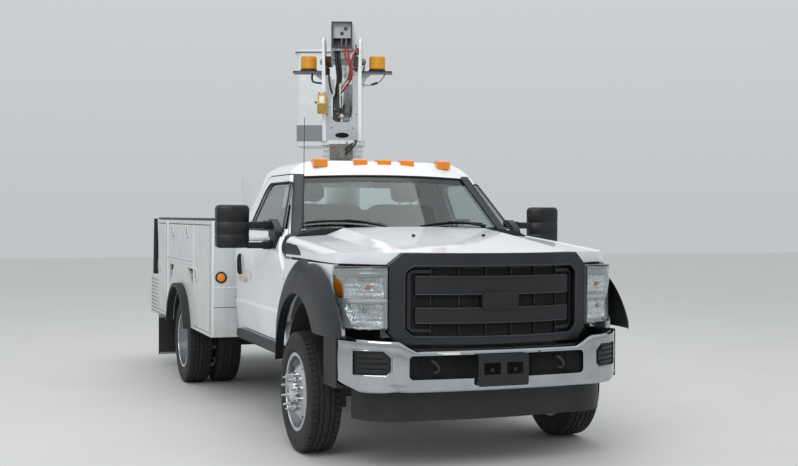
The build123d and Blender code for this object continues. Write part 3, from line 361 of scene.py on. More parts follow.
@dataclass(frozen=True)
class Band(Layer):
    """A level band of another colour."""

    low_mm: float
    high_mm: float
    code: str
    soft_mm: float = 1.0

    def apply(self, on: Surface) -> None:
        """Tint between two heights.

        Args:
            on: The surface.
        """
        height = add(on.tree, "ShaderNodeSeparateXYZ", {0: on.place}).outputs[2]
        low, high, soft = self.low_mm / 1000, self.high_mm / 1000, self.soft_mm / 1000
        share = on.sum(on.ramp(height, low - soft, low), on.ramp(height, high + soft, high))
        on.tint(share, self.code)


@dataclass(frozen=True)
class Checker(Layer):
    """Raised lozenges of tread plate."""

    size_mm: float = 28.0
    height_mm: float = 1.5

    def apply(self, on: Surface) -> None:
        """Raise two crossed rows of lozenges.

        Args:
            on: The surface.
        """
        cells = add(on.tree, "ShaderNodeTexVoronoi", {"Vector": on.place, "Scale": per_metre(self.size_mm)},
                    distance="CHEBYCHEV")
        on.emboss(on.ramp(cells.outputs["Distance"], 0.42, 0.3), self.height_mm)


@dataclass(frozen=True)
class Rain(Layer):
    """Drops standing on a waxed surface."""

    size_mm: float = 9.0
    height_mm: float = 0.5

    def apply(self, on: Surface) -> None:
        """Raise scattered round drops.

        Args:
            on: The surface.
        """
        cells = add(on.tree, "ShaderNodeTexVoronoi", {"Vector": on.place, "Scale": per_metre(self.size_mm)})
        drop = on.ramp(cells.outputs["Distance"], 0.3, 0.12)
        patch = on.ramp(on.noise(90, 2.0), 0.5, 0.6)
        on.emboss(on.sum(drop, patch), self.height_mm)


@dataclass(frozen=True)
class Finish:
    """A surface, from its base values to what years of use lay over it."""

    name: str
    colour: str
    roughness: float = 0.5
    metallic: float = 0.0
    ior: float = 1.5
    coat: float = 0.0
    transmission: float = 0.0
    alpha: float = 1.0
    glow: float = 0.0
    layers: tuple[Layer, ...] = ()

    def material(self) -> bpy.types.Material:
        """Blender material of this finish, made once.

        Returns:
            The material.
        """
        known = bpy.data.materials.get(self.name)
        if known:
            return known
        made = bpy.data.materials.new(self.name)
        made.use_nodes = True
        tree = made.node_tree
        tree.nodes.clear()
        shader = add(tree, "ShaderNodeBsdfPrincipled")
        out = add(tree, "ShaderNodeOutputMaterial", {0: shader.outputs[0]})
        place = add(tree, "ShaderNodeTexCoord").outputs["Object"]
        on = Surface(tree, shader, place, linear(self.colour), self.roughness, self.metallic)
        for layer in self.layers:
            layer.apply(on)
        sockets = {"Base Color": on.colour, "Roughness": on.roughness, "Metallic": on.metallic,
                   "Normal": on.normal,
                   "Coat Weight": self.coat, "Transmission Weight": self.transmission, "Alpha": self.alpha}
        if not self.metallic:
            sockets["IOR"] = self.ior
        if self.coat:
            sockets["Coat Roughness"] = COAT_ROUGHNESS
        if self.glow:
            sockets["Emission Color"] = linear(self.colour)
            sockets["Emission Strength"] = self.glow
        for key, value in sockets.items():
            if isinstance(value, bpy.types.NodeSocket):
                tree.links.new(value, shader.inputs[key])
            elif value is not None:
                shader.inputs[key].default_value = value
        made.diffuse_color = linear(self.colour)
        return made


# Sprayed two-pack cab paint under clear coat: bright white, wet gloss, faint peel
CAB_PAINT = Finish("cab_paint_white_two_pack", "#e6eaee", 0.32, ior=1.5, coat=0.8, layers=(
    Rounded(4.0), Mottle(420, "#d9dfe4", 0.5), Grain(9, 0.02), Rain(), RoadDirt(620, "#8b8981", 0.3),
    Smudge(120, 0.45)))
# Powder-coated sheet of the utility body: greyer white, satin, water runs and grey film
BODY_PAINT = Finish("body_powder_coat", "#d3d8d8", 0.42, coat=0.25, layers=(
    Rounded(3.0), Mottle(300, "#c2c8c7", 0.5), Mottle(46, "#b4b8b3", 0.22, (1, 1, 9)), Grain(14, 0.03),
    RoadDirt(950, "#82847c", 0.28), Smudge(150, 0.6)))
# Brush-marked enamel on the lift: dull white, chipped at edges, rust runs
LIFT_PAINT = Finish("lift_enamel_chipped", "#d9dedf", 0.45, coat=0.15, layers=(
    Rounded(3.0), Mottle(220, "#c6cac8", 0.5), Mottle(30, "#b3a692", 0.25, (1, 1, 7)), Grain(11, 0.04),
    EdgeWear(7, "#7a5a41", 0.8), RustChips(22, 0.63)))
# Moulded-in-colour grained surround: charcoal, fine leather-like grain drawn at 3 mm so that it shows
CHARCOAL = Finish("moulded_charcoal_grain", "#171a1e", 0.46, ior=1.48, layers=(
    Rounded(5.0), Mottle(260, "#2a2e33", 0.5), Grain(3, 0.12), Smudge(60, 0.36)))
# Injection-moulded polypropylene: near black, slight sheen, greyed by weather
BLACK_PLASTIC = Finish("moulded_polypropylene_black", "#0b0d10", 0.42, ior=1.49, layers=(
    Rounded(3.0), Mottle(140, "#15181c", 0.6), Grain(2.5, 0.08), Smudge(50, 0.62)))
# Lower valance and steps: same plastic, duller and dusty
DUSTY_PLASTIC = Finish("moulded_polypropylene_dusty", "#111317", 0.5, ior=1.49, layers=(
    Rounded(3.0), Mottle(160, "#1c1f23", 0.6), Grain(3, 0.12), RoadDirt(420, "#55524c", 0.16)))
# Triple-plated pressed steel: mirror bright, water marks
CHROME = Finish("chrome_plate", "#b4b8bc", 0.06, 1.0, layers=(
    Rounded(4.0), Mottle(80, "#989ca0", 0.4), Smudge(34, 0.15, 0.5), RoadDirt(560, "#5f5a52", 0.2)))
# Stainless wheel liners, turned and polished: soft streaks round the dish
WHEEL_STEEL = Finish("polished_wheel_steel", "#c3c7cb", 0.24, 1.0, layers=(
    Rounded(3.0), Brushed(2.5, 0.02, (1, 6, 6)), Smudge(30, 0.45), Mottle(60, "#9a9ea1", 0.4)))
# Bright nut covers
NUT_CHROME = Finish("plated_nut_cover", "#d4d7da", 0.12, 1.0,
                    layers=(Mottle(20, "#a4a7a9", 0.4), Smudge(12, 0.3)))
# Vulcanised tyre rubber: charcoal black, browned and dusted sidewall
TYRE = Finish("vulcanised_tyre_rubber", "#101112", 0.66, ior=1.52, layers=(
    Mottle(70, "#1d1c1b", 0.7), Grain(4, 0.12), Smudge(40, 0.85), RoadDirt(820, "#57534c", 0.12)))
# Extruded EPDM: black, matt
SEAL_RUBBER = Finish("extruded_rubber", "#0f1114", 0.55, ior=1.52, layers=(
    Mottle(60, "#1b1d1f", 0.6), Grain(3, 0.08), RoadDirt(900, "#57534c", 0.1)))
# Weathered top seal: grey-green with age
TOP_SEAL = Finish("weathered_sponge_rubber", "#4a524f", 0.85, ior=1.52, layers=(
    Mottle(50, "#353b39", 0.7), Grain(6, 0.4)))
# Laminated windscreen and toughened side glass: faint green, mirror smooth
GLASS = Finish("toughened_glass", "#cfdcd9", 0.0, ior=1.5, transmission=1.0)
# Black enamel fired on the edge of the windscreen: flat, opaque
FRIT = Finish("ceramic_black_edge", "#0c0d0f", 0.25, ior=1.5, layers=(Mottle(30, "#15171a", 0.5),))
# Moulded polycarbonate lenses: clear, amber and red
CLEAR_LENS = Finish("clear_polycarbonate", "#f4f7f7", 0.02, ior=1.58, transmission=1.0)
AMBER_LENS = Finish("amber_polycarbonate", "#fb9420", 0.16, ior=1.58, transmission=0.12, coat=0.4, layers=(
    Mottle(30, "#ea7d10", 0.4),))
BEACON_LENS = Finish("beacon_polycarbonate", "#efa90f", 0.2, ior=1.58, transmission=0.2, coat=0.4, layers=(
    Mottle(24, "#d68f06", 0.4), Smudge(20, 0.4)))
RED_LENS = Finish("red_polycarbonate", "#b21a17", 0.16, ior=1.58, transmission=0.3, coat=0.4, layers=(
    Mottle(30, "#8d100f", 0.4),))
# Aluminium vapour on the reflector bowls
REFLECTOR = Finish("vacuum_aluminised", "#dfe3e5", 0.16, 1.0,
                   layers=(Mottle(14, "#aab0b3", 0.6), Grain(9, 0.5)))
# Waxed chassis black, with red-brown bloom
CHASSIS_PAINT = Finish("chassis_black_wax", "#1a1a1b", 0.6, layers=(
    Rounded(2.0), Mottle(150, "#2e2a26", 0.7), Grain(8, 0.15), RustChips(34, 0.6, "#4a2d1d", "#553a28"),
    RoadDirt(900, "#5c564c", 0.4)))
# Sand-cast iron of axles and gearboxes
CAST_IRON = Finish("sand_cast_iron", "#3c3834", 0.75, layers=(
    Rounded(4.0), Mottle(60, "#55463a", 0.7), Grain(6, 0.5), RoadDirt(900, "#5c564c", 0.4)))
# Slew gearbox: brown-grey, oily
OILY_CAST = Finish("oily_cast_housing", "#6e6b63", 0.55, layers=(
    Rounded(4.0), Mottle(50, "#4f473c", 0.7), Mottle(18, "#8d8a82", 0.4), Grain(6, 0.4)))
# Grey machine enamel on the lift cylinder
CYLINDER_GREY = Finish("machine_enamel_grey", "#7f8384", 0.45, coat=0.1, layers=(
    Rounded(2.0), Mottle(70, "#6a6c6b", 0.6), RustChips(20, 0.66)))
# Hard chrome rod
ROD_CHROME = Finish("hard_chrome_rod", "#c8cbce", 0.1, 1.0,
                    layers=(Mottle(60, "#9fa2a4", 0.3), Smudge(30, 0.25)))
# Yellow enamel of the lower control box
YELLOW_ENAMEL = Finish("safety_yellow_enamel", "#d3a92f", 0.42, coat=0.2, layers=(
    Rounded(3.0), Mottle(60, "#b48a24", 0.6), EdgeWear(5, "#6d5a34", 0.7), Grain(8, 0.05)))
# Gel-coated glass fibre bucket, darker grey in a level band near its foot
GEL_COAT = Finish("gel_coat_white", "#dfe4e6", 0.35, coat=0.3, layers=(
    Rounded(5.0), Mottle(200, "#cdd2d3", 0.5), Band(2412, 2590, "#82878a", 2.0), Grain(40, 0.3),
    RustChips(18, 0.7, "#8d8f8e", "#a9aaa5")))
# Hydraulic hose covers
RED_HOSE = Finish("red_hose_cover", "#a23a33", 0.5, layers=(Mottle(24, "#7d2c27", 0.6), Grain(3, 0.15)))
BLACK_HOSE = Finish("black_hose_cover", "#17181a", 0.5, layers=(Mottle(30, "#29292a", 0.6), Grain(3, 0.15)))
WHITE_HOSE = Finish("white_polythene_tube", "#d6d8d6", 0.4, layers=(Mottle(30, "#b5b2aa", 0.6),))
# Rusted pins and bosses
RUSTED = Finish("rusted_pin_steel", "#5a4334", 0.8, 0.3, layers=(Mottle(16, "#7d4c2c", 0.8), Grain(4, 0.4)))
# Zinc-plated fasteners and brackets
ZINC = Finish("zinc_plate", "#a9abaa", 0.35, 1.0, layers=(Mottle(14, "#82837f", 0.6), Smudge(10, 0.6)))
# Bare extruded aluminium steps and strips
ALUMINIUM = Finish("mill_finish_aluminium", "#c4c7c8", 0.36, 1.0, layers=(
    Rounded(1.5), Brushed(3, 0.02, (1, 8, 1)), Smudge(50, 0.6), Mottle(90, "#a4a6a5", 0.4)))
# Bed floor in tread plate
TREAD_PLATE = Finish("painted_tread_plate", "#5b5f60", 0.55, layers=(Mottle(130, "#44413c", 0.7), Checker()))
# Woven seat cloth: grey, 4 mm rib drawn to show
SEAT_CLOTH = Finish("woven_seat_cloth", "#303337", 0.92, ior=1.45, layers=(
    Grain(4, 0.5, (1, 8, 1)), Mottle(70, "#26292c", 0.6)))
# Grained dashboard
DASH = Finish("moulded_dash_grey", "#54585c", 0.62,
              layers=(Rounded(4.0), Grain(3, 0.12), Mottle(160, "#484c50", 0.5)))
# Mirror glass
MIRROR = Finish("silvered_glass", "#dfe3e4", 0.02, 1.0, layers=(Mottle(90, "#cdd2d4", 0.4),))
# Painted frame between the lamp bowls: pale satin silver
SATIN_FRAME = Finish("metallised_lamp_frame", "#b9bfc1", 0.3, 0.7, layers=(Mottle(30, "#969c9e", 0.4),))
# Brighter metallised strips of the lamps
BRIGHT_FRAME = Finish("bright_metallised_strip", "#eef1f2", 0.22, 0.4, layers=(Mottle(40, "#cfd4d6", 0.4),))
# Sprayed wheel housing felt: flat black
LINER = Finish("needled_wheel_liner", "#0d0e0f", 0.95, layers=(Mottle(90, "#1c1b1a", 0.6), Grain(5, 0.4)))
# Rubbed edges of the moulded trim: a shade lighter than the grain
CHARCOAL_EDGE = Finish("moulded_trim_rubbed_edge", "#2e3237", 0.42, ior=1.48,
                       layers=(Mottle(60, "#24282c", 0.6),))
# Raised folds and strips of the body: a brighter copy of the body white, painted highlight where the edges
# catch the light
PAINTED_HIGHLIGHT_WHITE = Finish("folded_edge_powder_coat", "#eef1f2", 0.4, coat=0.3, layers=(
    Rounded(1.5), Mottle(90, "#dde1e1", 0.5), Grain(9, 0.03)))
# Pale moulded bezels of the paddle latches
LATCH_PALE = Finish("moulded_nylon_pale", "#dfe2de", 0.42, layers=(
    Rounded(2.0), Mottle(30, "#c5c8c3", 0.5), Grain(3, 0.05)))
# Weathered steel fittings: dull grey, brown in the corners
DULL_STEEL = Finish("weathered_zinc_steel", "#8b8d8b", 0.5, 0.6, layers=(
    Mottle(24, "#6b6258", 0.6), Smudge(14, 0.75), Grain(4, 0.1)))
# Front plate enamel with painted shade: the lift's white in bluish grey, as it looks in shadow
SHADED_LIFT_ENAMEL = Finish("lift_enamel_grey", "#b4bac0", 0.42, coat=0.15, layers=(
    Mottle(180, "#a3a9af", 0.5), Mottle(26, "#978d80", 0.2, (1, 1, 7)), Grain(11, 0.04),
    RustChips(20, 0.68)))
# Lighter copy of the lift enamel on the cheek edges: painted highlight
LIT_LIFT_ENAMEL = Finish("lift_enamel_white", "#e6eaec", 0.42, coat=0.2, layers=(
    Rounded(1.5), Mottle(120, "#d3d7d7", 0.5), RustChips(16, 0.68)))
# Beacon trays: dark grey enamel with a wet film
DARK_TRAY = Finish("tray_enamel_dark", "#5c6062", 0.4, coat=0.2, layers=(
    Mottle(60, "#484b4c", 0.6), Grain(8, 0.05), RustChips(18, 0.68)))
# Valve gear under oil and dust
OILY_DARK = Finish("oily_dark_casting", "#232425", 0.45, layers=(
    Rounded(2.0), Mottle(40, "#3b3630", 0.7), Mottle(12, "#4d4a45", 0.3), Grain(5, 0.3)))
# Lid of the lower control box: browner yellow
MUSTARD = Finish("weathered_yellow_lid", "#a98a2e", 0.5, layers=(Mottle(24, "#7f6a2a", 0.6), Grain(5, 0.1)))
KNOB_RED = Finish("moulded_red_knob", "#8c2a26", 0.4, layers=(Mottle(10, "#6d1f1c", 0.5),))
BROWN_HOSE = Finish("brown_hose_cover", "#7b5a4c", 0.5, layers=(Mottle(24, "#5d4137", 0.6), Grain(3, 0.15)))
# Blank self-adhesive film
LABEL = Finish("blank_vinyl_film", "#e8e9e4", 0.4, layers=(Mottle(20, "#cfcfc6", 0.5),))
# Beige lock cap
LOCK_CAP = Finish("beige_lock_cap", "#c9bfb0", 0.4, layers=(Mottle(12, "#b3a797", 0.5),))


def row_point(at: Point) -> Vector:
    """Millimetres from the front axle turned to metres in the row frame."""
    return Vector((at[0], at[1] - MID_Y, at[2])) / 1000


def arc(start: Point, through: Point, end: Point, steps: int = 16) -> list[tuple[float, float]]:
    """Points on the flat arc through three points.

    Args:
        start: First point.
        through: A point on the arc.
        end: Last point.
        steps: Number of runs.

    Returns:
        The points, both ends included.
    """
    (ax, ay), (bx, by), (cx, cy) = start, through, end
    d = 2 * (ax * (by - cy) + bx * (cy - ay) + cx * (ay - by))
    sa, sb, sc = ax * ax + ay * ay, bx * bx + by * by, cx * cx + cy * cy
    ox = (sa * (by - cy) + sb * (cy - ay) + sc * (ay - by)) / d
    oy = (sa * (cx - bx) + sb * (ax - cx) + sc * (bx - ax)) / d
    first, last = math.atan2(ay - oy, ax - ox), math.atan2(cy - oy, cx - ox)
    middle = (math.atan2(by - oy, bx - ox) - first) % math.tau
    sweep = (last - first) % math.tau
    if middle > sweep:
        sweep -= math.tau
    radius = math.hypot(ax - ox, ay - oy)
    return [(ox + radius * math.cos(first + sweep * k / steps),
             oy + radius * math.sin(first + sweep * k / steps))
            for k in range(steps + 1)]


def round_box(width: float, height: float, radius: float, steps: int = 5) -> list[tuple[float, float]]:
    """Outline of a rectangle with round corners, about its centre.

    Args:
        width: Its width.
        height: Its height.
        radius: The corners' radius.
        steps: Runs in each corner.

    Returns:
        The points.
    """
    points = []
    for k, (sx, sy) in enumerate(((1, 1), (-1, 1), (-1, -1), (1, -1))):
        cx, cy = sx * (width / 2 - radius), sy * (height / 2 - radius)
        for j in range(steps + 1):
            a = math.pi / 2 * (k + j / steps)
            points.append((cx + radius * math.cos(a), cy + radius * math.sin(a)))
    return points


class Form:
    """A mesh being drawn in millimetres."""

    def __init__(self, turn: Matrix | None = None) -> None:
        """Start an empty form, drawn in the truck's axes or in those that turn gives.

        Args:
            turn: Axes that it is drawn in, or none for the truck's.
        """
        self.turn = turn
        self.points: list[Vector] = []
        self.faces: list[tuple[int, ...]] = []
        self.marks: list[int] = []
        self.mark = 0

    def add(self, points: Iterable[Point], faces: Iterable[Sequence[int]]) -> None:
        """Add points and faces that count from the first of them.

        Args:
            points: Their places.
            faces: Corner numbers of each face.
        """
        base = len(self.points)
        self.points.extend(Vector(p) for p in points)
        for face in faces:
            self.faces.append(tuple(base + k for k in face))
            self.marks.append(self.mark)

    def slab(self, low: Point, high: Point) -> None:
        """Add a box between two corners.

        Args:
            low: Lowest corner.
            high: Highest corner.
        """
        (x0, y0, z0), (x1, y1, z1) = low, high
        self.add([(x, y, z) for x in (x0, x1) for y in (y0, y1) for z in (z0, z1)],
                 [(0, 1, 3, 2), (4, 6, 7, 5), (0, 4, 5, 1), (2, 3, 7, 6), (0, 2, 6, 4), (1, 5, 7, 3)])

    def prism(self, outline: Sequence[Point], axis: str, low: float, high: float) -> None:
        """Push an outline along an axis.

        Args:
            outline: Points in the other two axes, in the order X, Y, Z.
            axis: "X", "Y" or "Z".
            low: Where it starts.
            high: Where it ends.
        """
        at = "XYZ".index(axis)

        def lift(p: Point, level: float) -> tuple[float, ...]:
            """Put a level in among a point's other two values.

            Args:
                p: The point in two axes.
                level: The level.

            Returns:
                The point in three axes.
            """
            values = list(p)
            values.insert(at, level)
            return tuple(values)
        n = len(outline)
        points = [lift(p, low) for p in outline] + [lift(p, high) for p in outline]
        sides = [(k, (k + 1) % n, n + (k + 1) % n, n + k) for k in range(n)]
        self.add(points, [*sides, tuple(reversed(range(n))), tuple(range(n, 2 * n))])

    def lathe(self, profile: Sequence[Point], centre: Point, axis: str = "X", steps: int = 32,
              closed: bool = False) -> None:
        """Turn a profile about an axis.

        Args:
            profile: Places along the axis and radii.
            centre: Point on the axis that places count from.
            axis: "X", "Y" or "Z".
            steps: Faces round the turn.
            closed: Whether the profile's ends meet.
        """
        at = "XYZ".index(axis)
        points = []
        for along, radius in profile:
            for k in range(steps):
                a = math.tau * k / steps
                values = [radius * math.cos(a), radius * math.sin(a)]
                values.insert(at, along)
                points.append(Vector(values) + Vector(centre))
        rows = len(profile)
        faces = []
        for r in range(rows if closed else rows - 1):
            for k in range(steps):
                j, s = (k + 1) % steps, (r + 1) % rows
                faces.append((r * steps + k, r * steps + j, s * steps + j, s * steps + k))
        if not closed:
            for r in (0, rows - 1):
                if profile[r][1] > 0.01:
                    faces.append(tuple(range(r * steps, (r + 1) * steps)))
        self.add(points, faces)

    def skin(self, rows: Sequence[Sequence[Point]], closed: bool = False, capped: bool = False) -> None:
        """Join rows of points with faces.

        Args:
            rows: Rows of the same length.
            closed: Whether each row's ends meet.
            capped: Whether the first and last row are filled.
        """
        n = len(rows[0])
        faces = []
        for r in range(len(rows) - 1):
            for k in range(n if closed else n - 1):
                j = (k + 1) % n
                faces.append((r * n + k, r * n + j, (r + 1) * n + j, (r + 1) * n + k))
        if capped:
            faces += [tuple(reversed(range(n))), tuple(range((len(rows) - 1) * n, len(rows) * n))]
        self.add([p for row in rows for p in row], faces)

    def bar(self, start: Point, end: Point, radius: float, sides: int = 12,
            tip: float | None = None) -> None:
        """Add a round bar between two points, with another radius at its tip if given.

        Args:
            start: Middle of its first end.
            end: Middle of its other end.
            radius: Radius at the start.
            sides: Faces round it.
            tip: Radius at the end, where it differs.
        """
        a, b = Vector(start), Vector(end)
        run = (b - a).normalized()
        side = run.orthogonal().normalized()
        up = run.cross(side)
        rows = []
        for centre, r in ((a, radius), (b, radius if tip is None else tip)):
            rows.append([centre + r
                         * (math.cos(math.tau * k / sides) * side + math.sin(math.tau * k / sides) * up)
                         for k in range(sides)])
        self.skin(rows, closed=True, capped=True)

    def tube(self, path: Sequence[Point], radius: float, sides: int = 10) -> None:
        """Sweep a circle along a path without twist.

        Args:
            path: Points that it follows.
            radius: Its radius.
            sides: Faces round it.
        """
        line = [Vector(p) for p in path]
        rows = []
        side = (line[1] - line[0]).orthogonal().normalized()
        for k, centre in enumerate(line):
            run = (line[min(k + 1, len(line) - 1)] - line[max(k - 1, 0)]).normalized()
            side = (side - run * side.dot(run)).normalized()
            up = run.cross(side)
            rows.append([centre + radius
                         * (math.cos(math.tau * j / sides) * side + math.sin(math.tau * j / sides) * up)
                         for j in range(sides)])
        self.skin(rows, closed=True, capped=True)

    def bolt(self, at: Point, axis: str, out: float, across: float = 18.0, tall: float = 9.0) -> None:
        """Add a hexagon bolt head with its washer, standing out along an axis.

        Args:
            at: Where the washer lies.
            axis: "X", "Y" or "Z".
            out: 1 or -1, the way that it stands out.
            across: Width across the flats.
            tall: Height of the head.
        """
        k = "XYZ".index(axis)
        steps = [(0.0, across * 0.72, 20), (2.2, across * 0.72, 20), (2.2, across * 0.56, 6),
                 (tall, across * 0.56, 6)]
        for (l0, r0, n), (l1, r1, m) in zip(steps[::2], steps[1::2]):
            low, high = list(at), list(at)
            low[k] += out * l0
            high[k] += out * l1
            self.bar(low, high, r0, n)

    def mirrored(self) -> "Form":
        """The same form on the other side of the truck.

        Returns:
            The mirror image.
        """
        other = Form(self.turn)
        other.points = [Vector((-p[0], p[1], p[2])) for p in self.points]
        other.faces = [tuple(reversed(f)) for f in self.faces]
        other.marks = list(self.marks)
        return other

    def side(self, which: Side) -> "Form":
        """The form itself on the left, or its mirror image on the right."""
        return self if which is Side.LEFT else self.mirrored()

    def join(self, other: "Form") -> "Form":
        """Take in another form and return this one.

        Args:
            other: The form that is taken in.

        Returns:
            This form.
        """
        self.add(other.points, other.faces)
        self.marks[len(self.marks) - len(other.marks):] = other.marks
        return self

    def make(self, name: str, body: str, finishes: Finish | Sequence[Finish], slot: str = "",
             bevel: float = 0.0,
             smooth: bool = True, levels: int = 0, thick: float = 0.0) -> bpy.types.Object:
        """Turn the form into a piece that rides on a CAD body.

        Args:
            name: Piece name.
            body: CAD body it moves with.
            finishes: One finish, or one for each mark.
            slot: The record's material slot it stands for; not used.
            bevel: Width of rounded edges in millimetres.
            smooth: Whether faces under 40 degrees apart shade smoothly.
            levels: Subdivision levels.
            thick: Wall thickness in millimetres that is added inwards.

        Returns:
            The object.
        """
        points = [self.turn @ p for p in self.points] if self.turn else self.points
        mesh = bpy.data.meshes.new(name)
        mesh.from_pydata([row_point(p) for p in points], [], self.faces)
        mesh.validate()
        for finish in ([finishes] if isinstance(finishes, Finish) else finishes):
            mesh.materials.append(finish.material())
        if len(mesh.polygons) == len(self.marks):
            mesh.polygons.foreach_set("material_index", self.marks)
        piece = bpy.data.objects.new(name, mesh)
        bpy.context.scene.collection.objects.link(piece)
        if thick:
            wall = piece.modifiers.new("wall", "SOLIDIFY")
            wall.thickness, wall.offset = thick / 1000, -1.0
        if levels:
            round_off = piece.modifiers.new("round", "SUBSURF")
            round_off.levels = round_off.render_levels = levels
        if bevel:
            edge = piece.modifiers.new("edges", "BEVEL")
            edge.width, edge.segments, edge.limit_method = bevel / 1000, 2, "ANGLE"
            edge.angle_limit, edge.harden_normals = BEVEL_OVER, False
        if smooth:
            mesh.shade_smooth()
            mesh.set_sharp_from_angle(angle=SMOOTH_UNDER)
        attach(piece, body)
        LOG.info("made %s", name)
        return piece


def hose(name: str, path: Sequence[Point], radius: float, body: str, finish: Finish,
         turn: Matrix | None = LIFT) -> bpy.types.Object:
    """A fixed hose or cable whose two ends go into the machine, on a smooth spline.

    Args:
        name: Piece name.
        path: Control points in millimetres.
        radius: Its radius in millimetres.
        body: CAD body it moves with, or nothing, for a hose between two bodies that is left unattached.
        finish: Its cover.
        turn: Axes the points are given in.

    Returns:
        The object.
    """
    points = [row_point(turn @ Vector(p) if turn else Vector(p)) for p in path]
    curve = bpy.data.curves.new(name, "CURVE")
    curve.dimensions = "3D"
    spline = curve.splines.new("NURBS")
    spline.points.add(len(points) - 1)
    for slot, point in zip(spline.points, points):
        slot.co = (*point, 1.0)
    spline.order_u = 3
    spline.use_endpoint_u = True
    curve.bevel_depth, curve.bevel_resolution = radius / 1000, 3
    curve.resolution_u, curve.use_fill_caps = 10, True
    source = bpy.data.objects.new(name + "_line", curve)
    bpy.context.scene.collection.objects.link(source)
    bpy.context.view_layer.update()
    mesh = bpy.data.meshes.new_from_object(source)
    bpy.data.objects.remove(source)
    mesh.materials.clear()
    mesh.materials.append(finish.material())
    mesh.shade_smooth()
    piece = bpy.data.objects.new(name, mesh)
    bpy.context.scene.collection.objects.link(piece)
    if body:
        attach(piece, body)
    LOG.info("made %s", name)
    return piece


@dataclass
class Studio:
    """Camera, pale floor and soft light."""

    camera_at: tuple[float, float, float] = (-3.1597, -9.9167, 1.5867)
    yaw: float = -0.3563
    pitch: float = -0.0203
    roll: float = -0.0049
    focal_px: float = 1177.01
    width_px: float = 798.0
    shift_px: float = 7.41
    floor_size: float = 70.0

    def camera(self) -> None:
        """Camera at the photograph's place and angle."""
        data = bpy.data.cameras.new("camera")
        data.sensor_width = 36.0
        data.lens = 36.0 * self.focal_px / self.width_px
        data.shift_y = self.shift_px / self.width_px
        data.clip_start, data.clip_end = 0.1, 200.0
        eye = bpy.data.objects.new("camera", data)
        turn = (Matrix.Rotation(self.yaw, 4, "Z") @ Matrix.Rotation(self.pitch, 4, "X")
                @ Matrix.Rotation(self.roll, 4, "Y") @ Matrix.Rotation(math.pi / 2, 4, "X"))
        eye.matrix_world = Matrix.Translation(self.camera_at) @ turn
        bpy.context.scene.collection.objects.link(eye)
        bpy.context.scene.camera = eye

    def floor(self) -> None:
        """Pale matt floor."""
        form = Form()
        half = self.floor_size * 500
        form.add([(-half, -half + MID_Y, 0), (half, -half + MID_Y, 0), (half, half + MID_Y, 0),
                  (-half, half + MID_Y, 0)], [(0, 1, 2, 3)])
        mesh = bpy.data.meshes.new("floor")
        mesh.from_pydata([row_point(p) for p in form.points], [], form.faces)
        mesh.materials.append(Finish("pale_floor_paint", "#c9cac8", 0.8, layers=(
            Mottle(900, "#c2c3c0", 0.4), Grain(20, 0.2))).material())
        piece = bpy.data.objects.new("floor", mesh)
        bpy.context.scene.collection.objects.link(piece)

    def light(self) -> None:
        """Overcast dome, brighter overhead, with one broad lamp from the camera's left."""
        world = bpy.data.worlds.new("dome")
        bpy.context.scene.world = world
        world.use_nodes = True
        tree = world.node_tree
        tree.nodes.clear()
        place = add(tree, "ShaderNodeTexCoord").outputs["Generated"]
        height = add(tree, "ShaderNodeSeparateXYZ", {0: place}).outputs[2]
        share = add(tree, "ShaderNodeMapRange",
                    {"Value": height, "From Min": 0.0, "From Max": 0.7}).outputs[0]
        sky = add(tree, "ShaderNodeMix", {0: share, 6: linear("#c6c9cc"), 7: linear("#f2f4f6")},
                  data_type="RGBA")
        back = add(tree, "ShaderNodeBackground", {0: sky.outputs[2], 1: 0.95})
        add(tree, "ShaderNodeOutputWorld", {0: back.outputs[0]})
        for name, at, size, power in (("key", (-5.0, -9.0, 8.0), 6.0, 420.0),
                                      ("top", (0.0, 0.5, 9.5), 8.0, 260.0)):
            data = bpy.data.lights.new(name, "AREA")
            data.size, data.energy = size, power
            lamp = bpy.data.objects.new(name, data)
            lamp.location = at
            lamp.rotation_euler = (Vector((0, -0.5, 1.2)) - Vector(at)).to_track_quat("-Z", "Y").to_euler()
            bpy.context.scene.collection.objects.link(lamp)

    def build(self) -> None:
        """Set up the studio."""
        self.camera()
        self.floor()
        self.light()
        bpy.context.scene.view_settings.view_transform = "Standard"


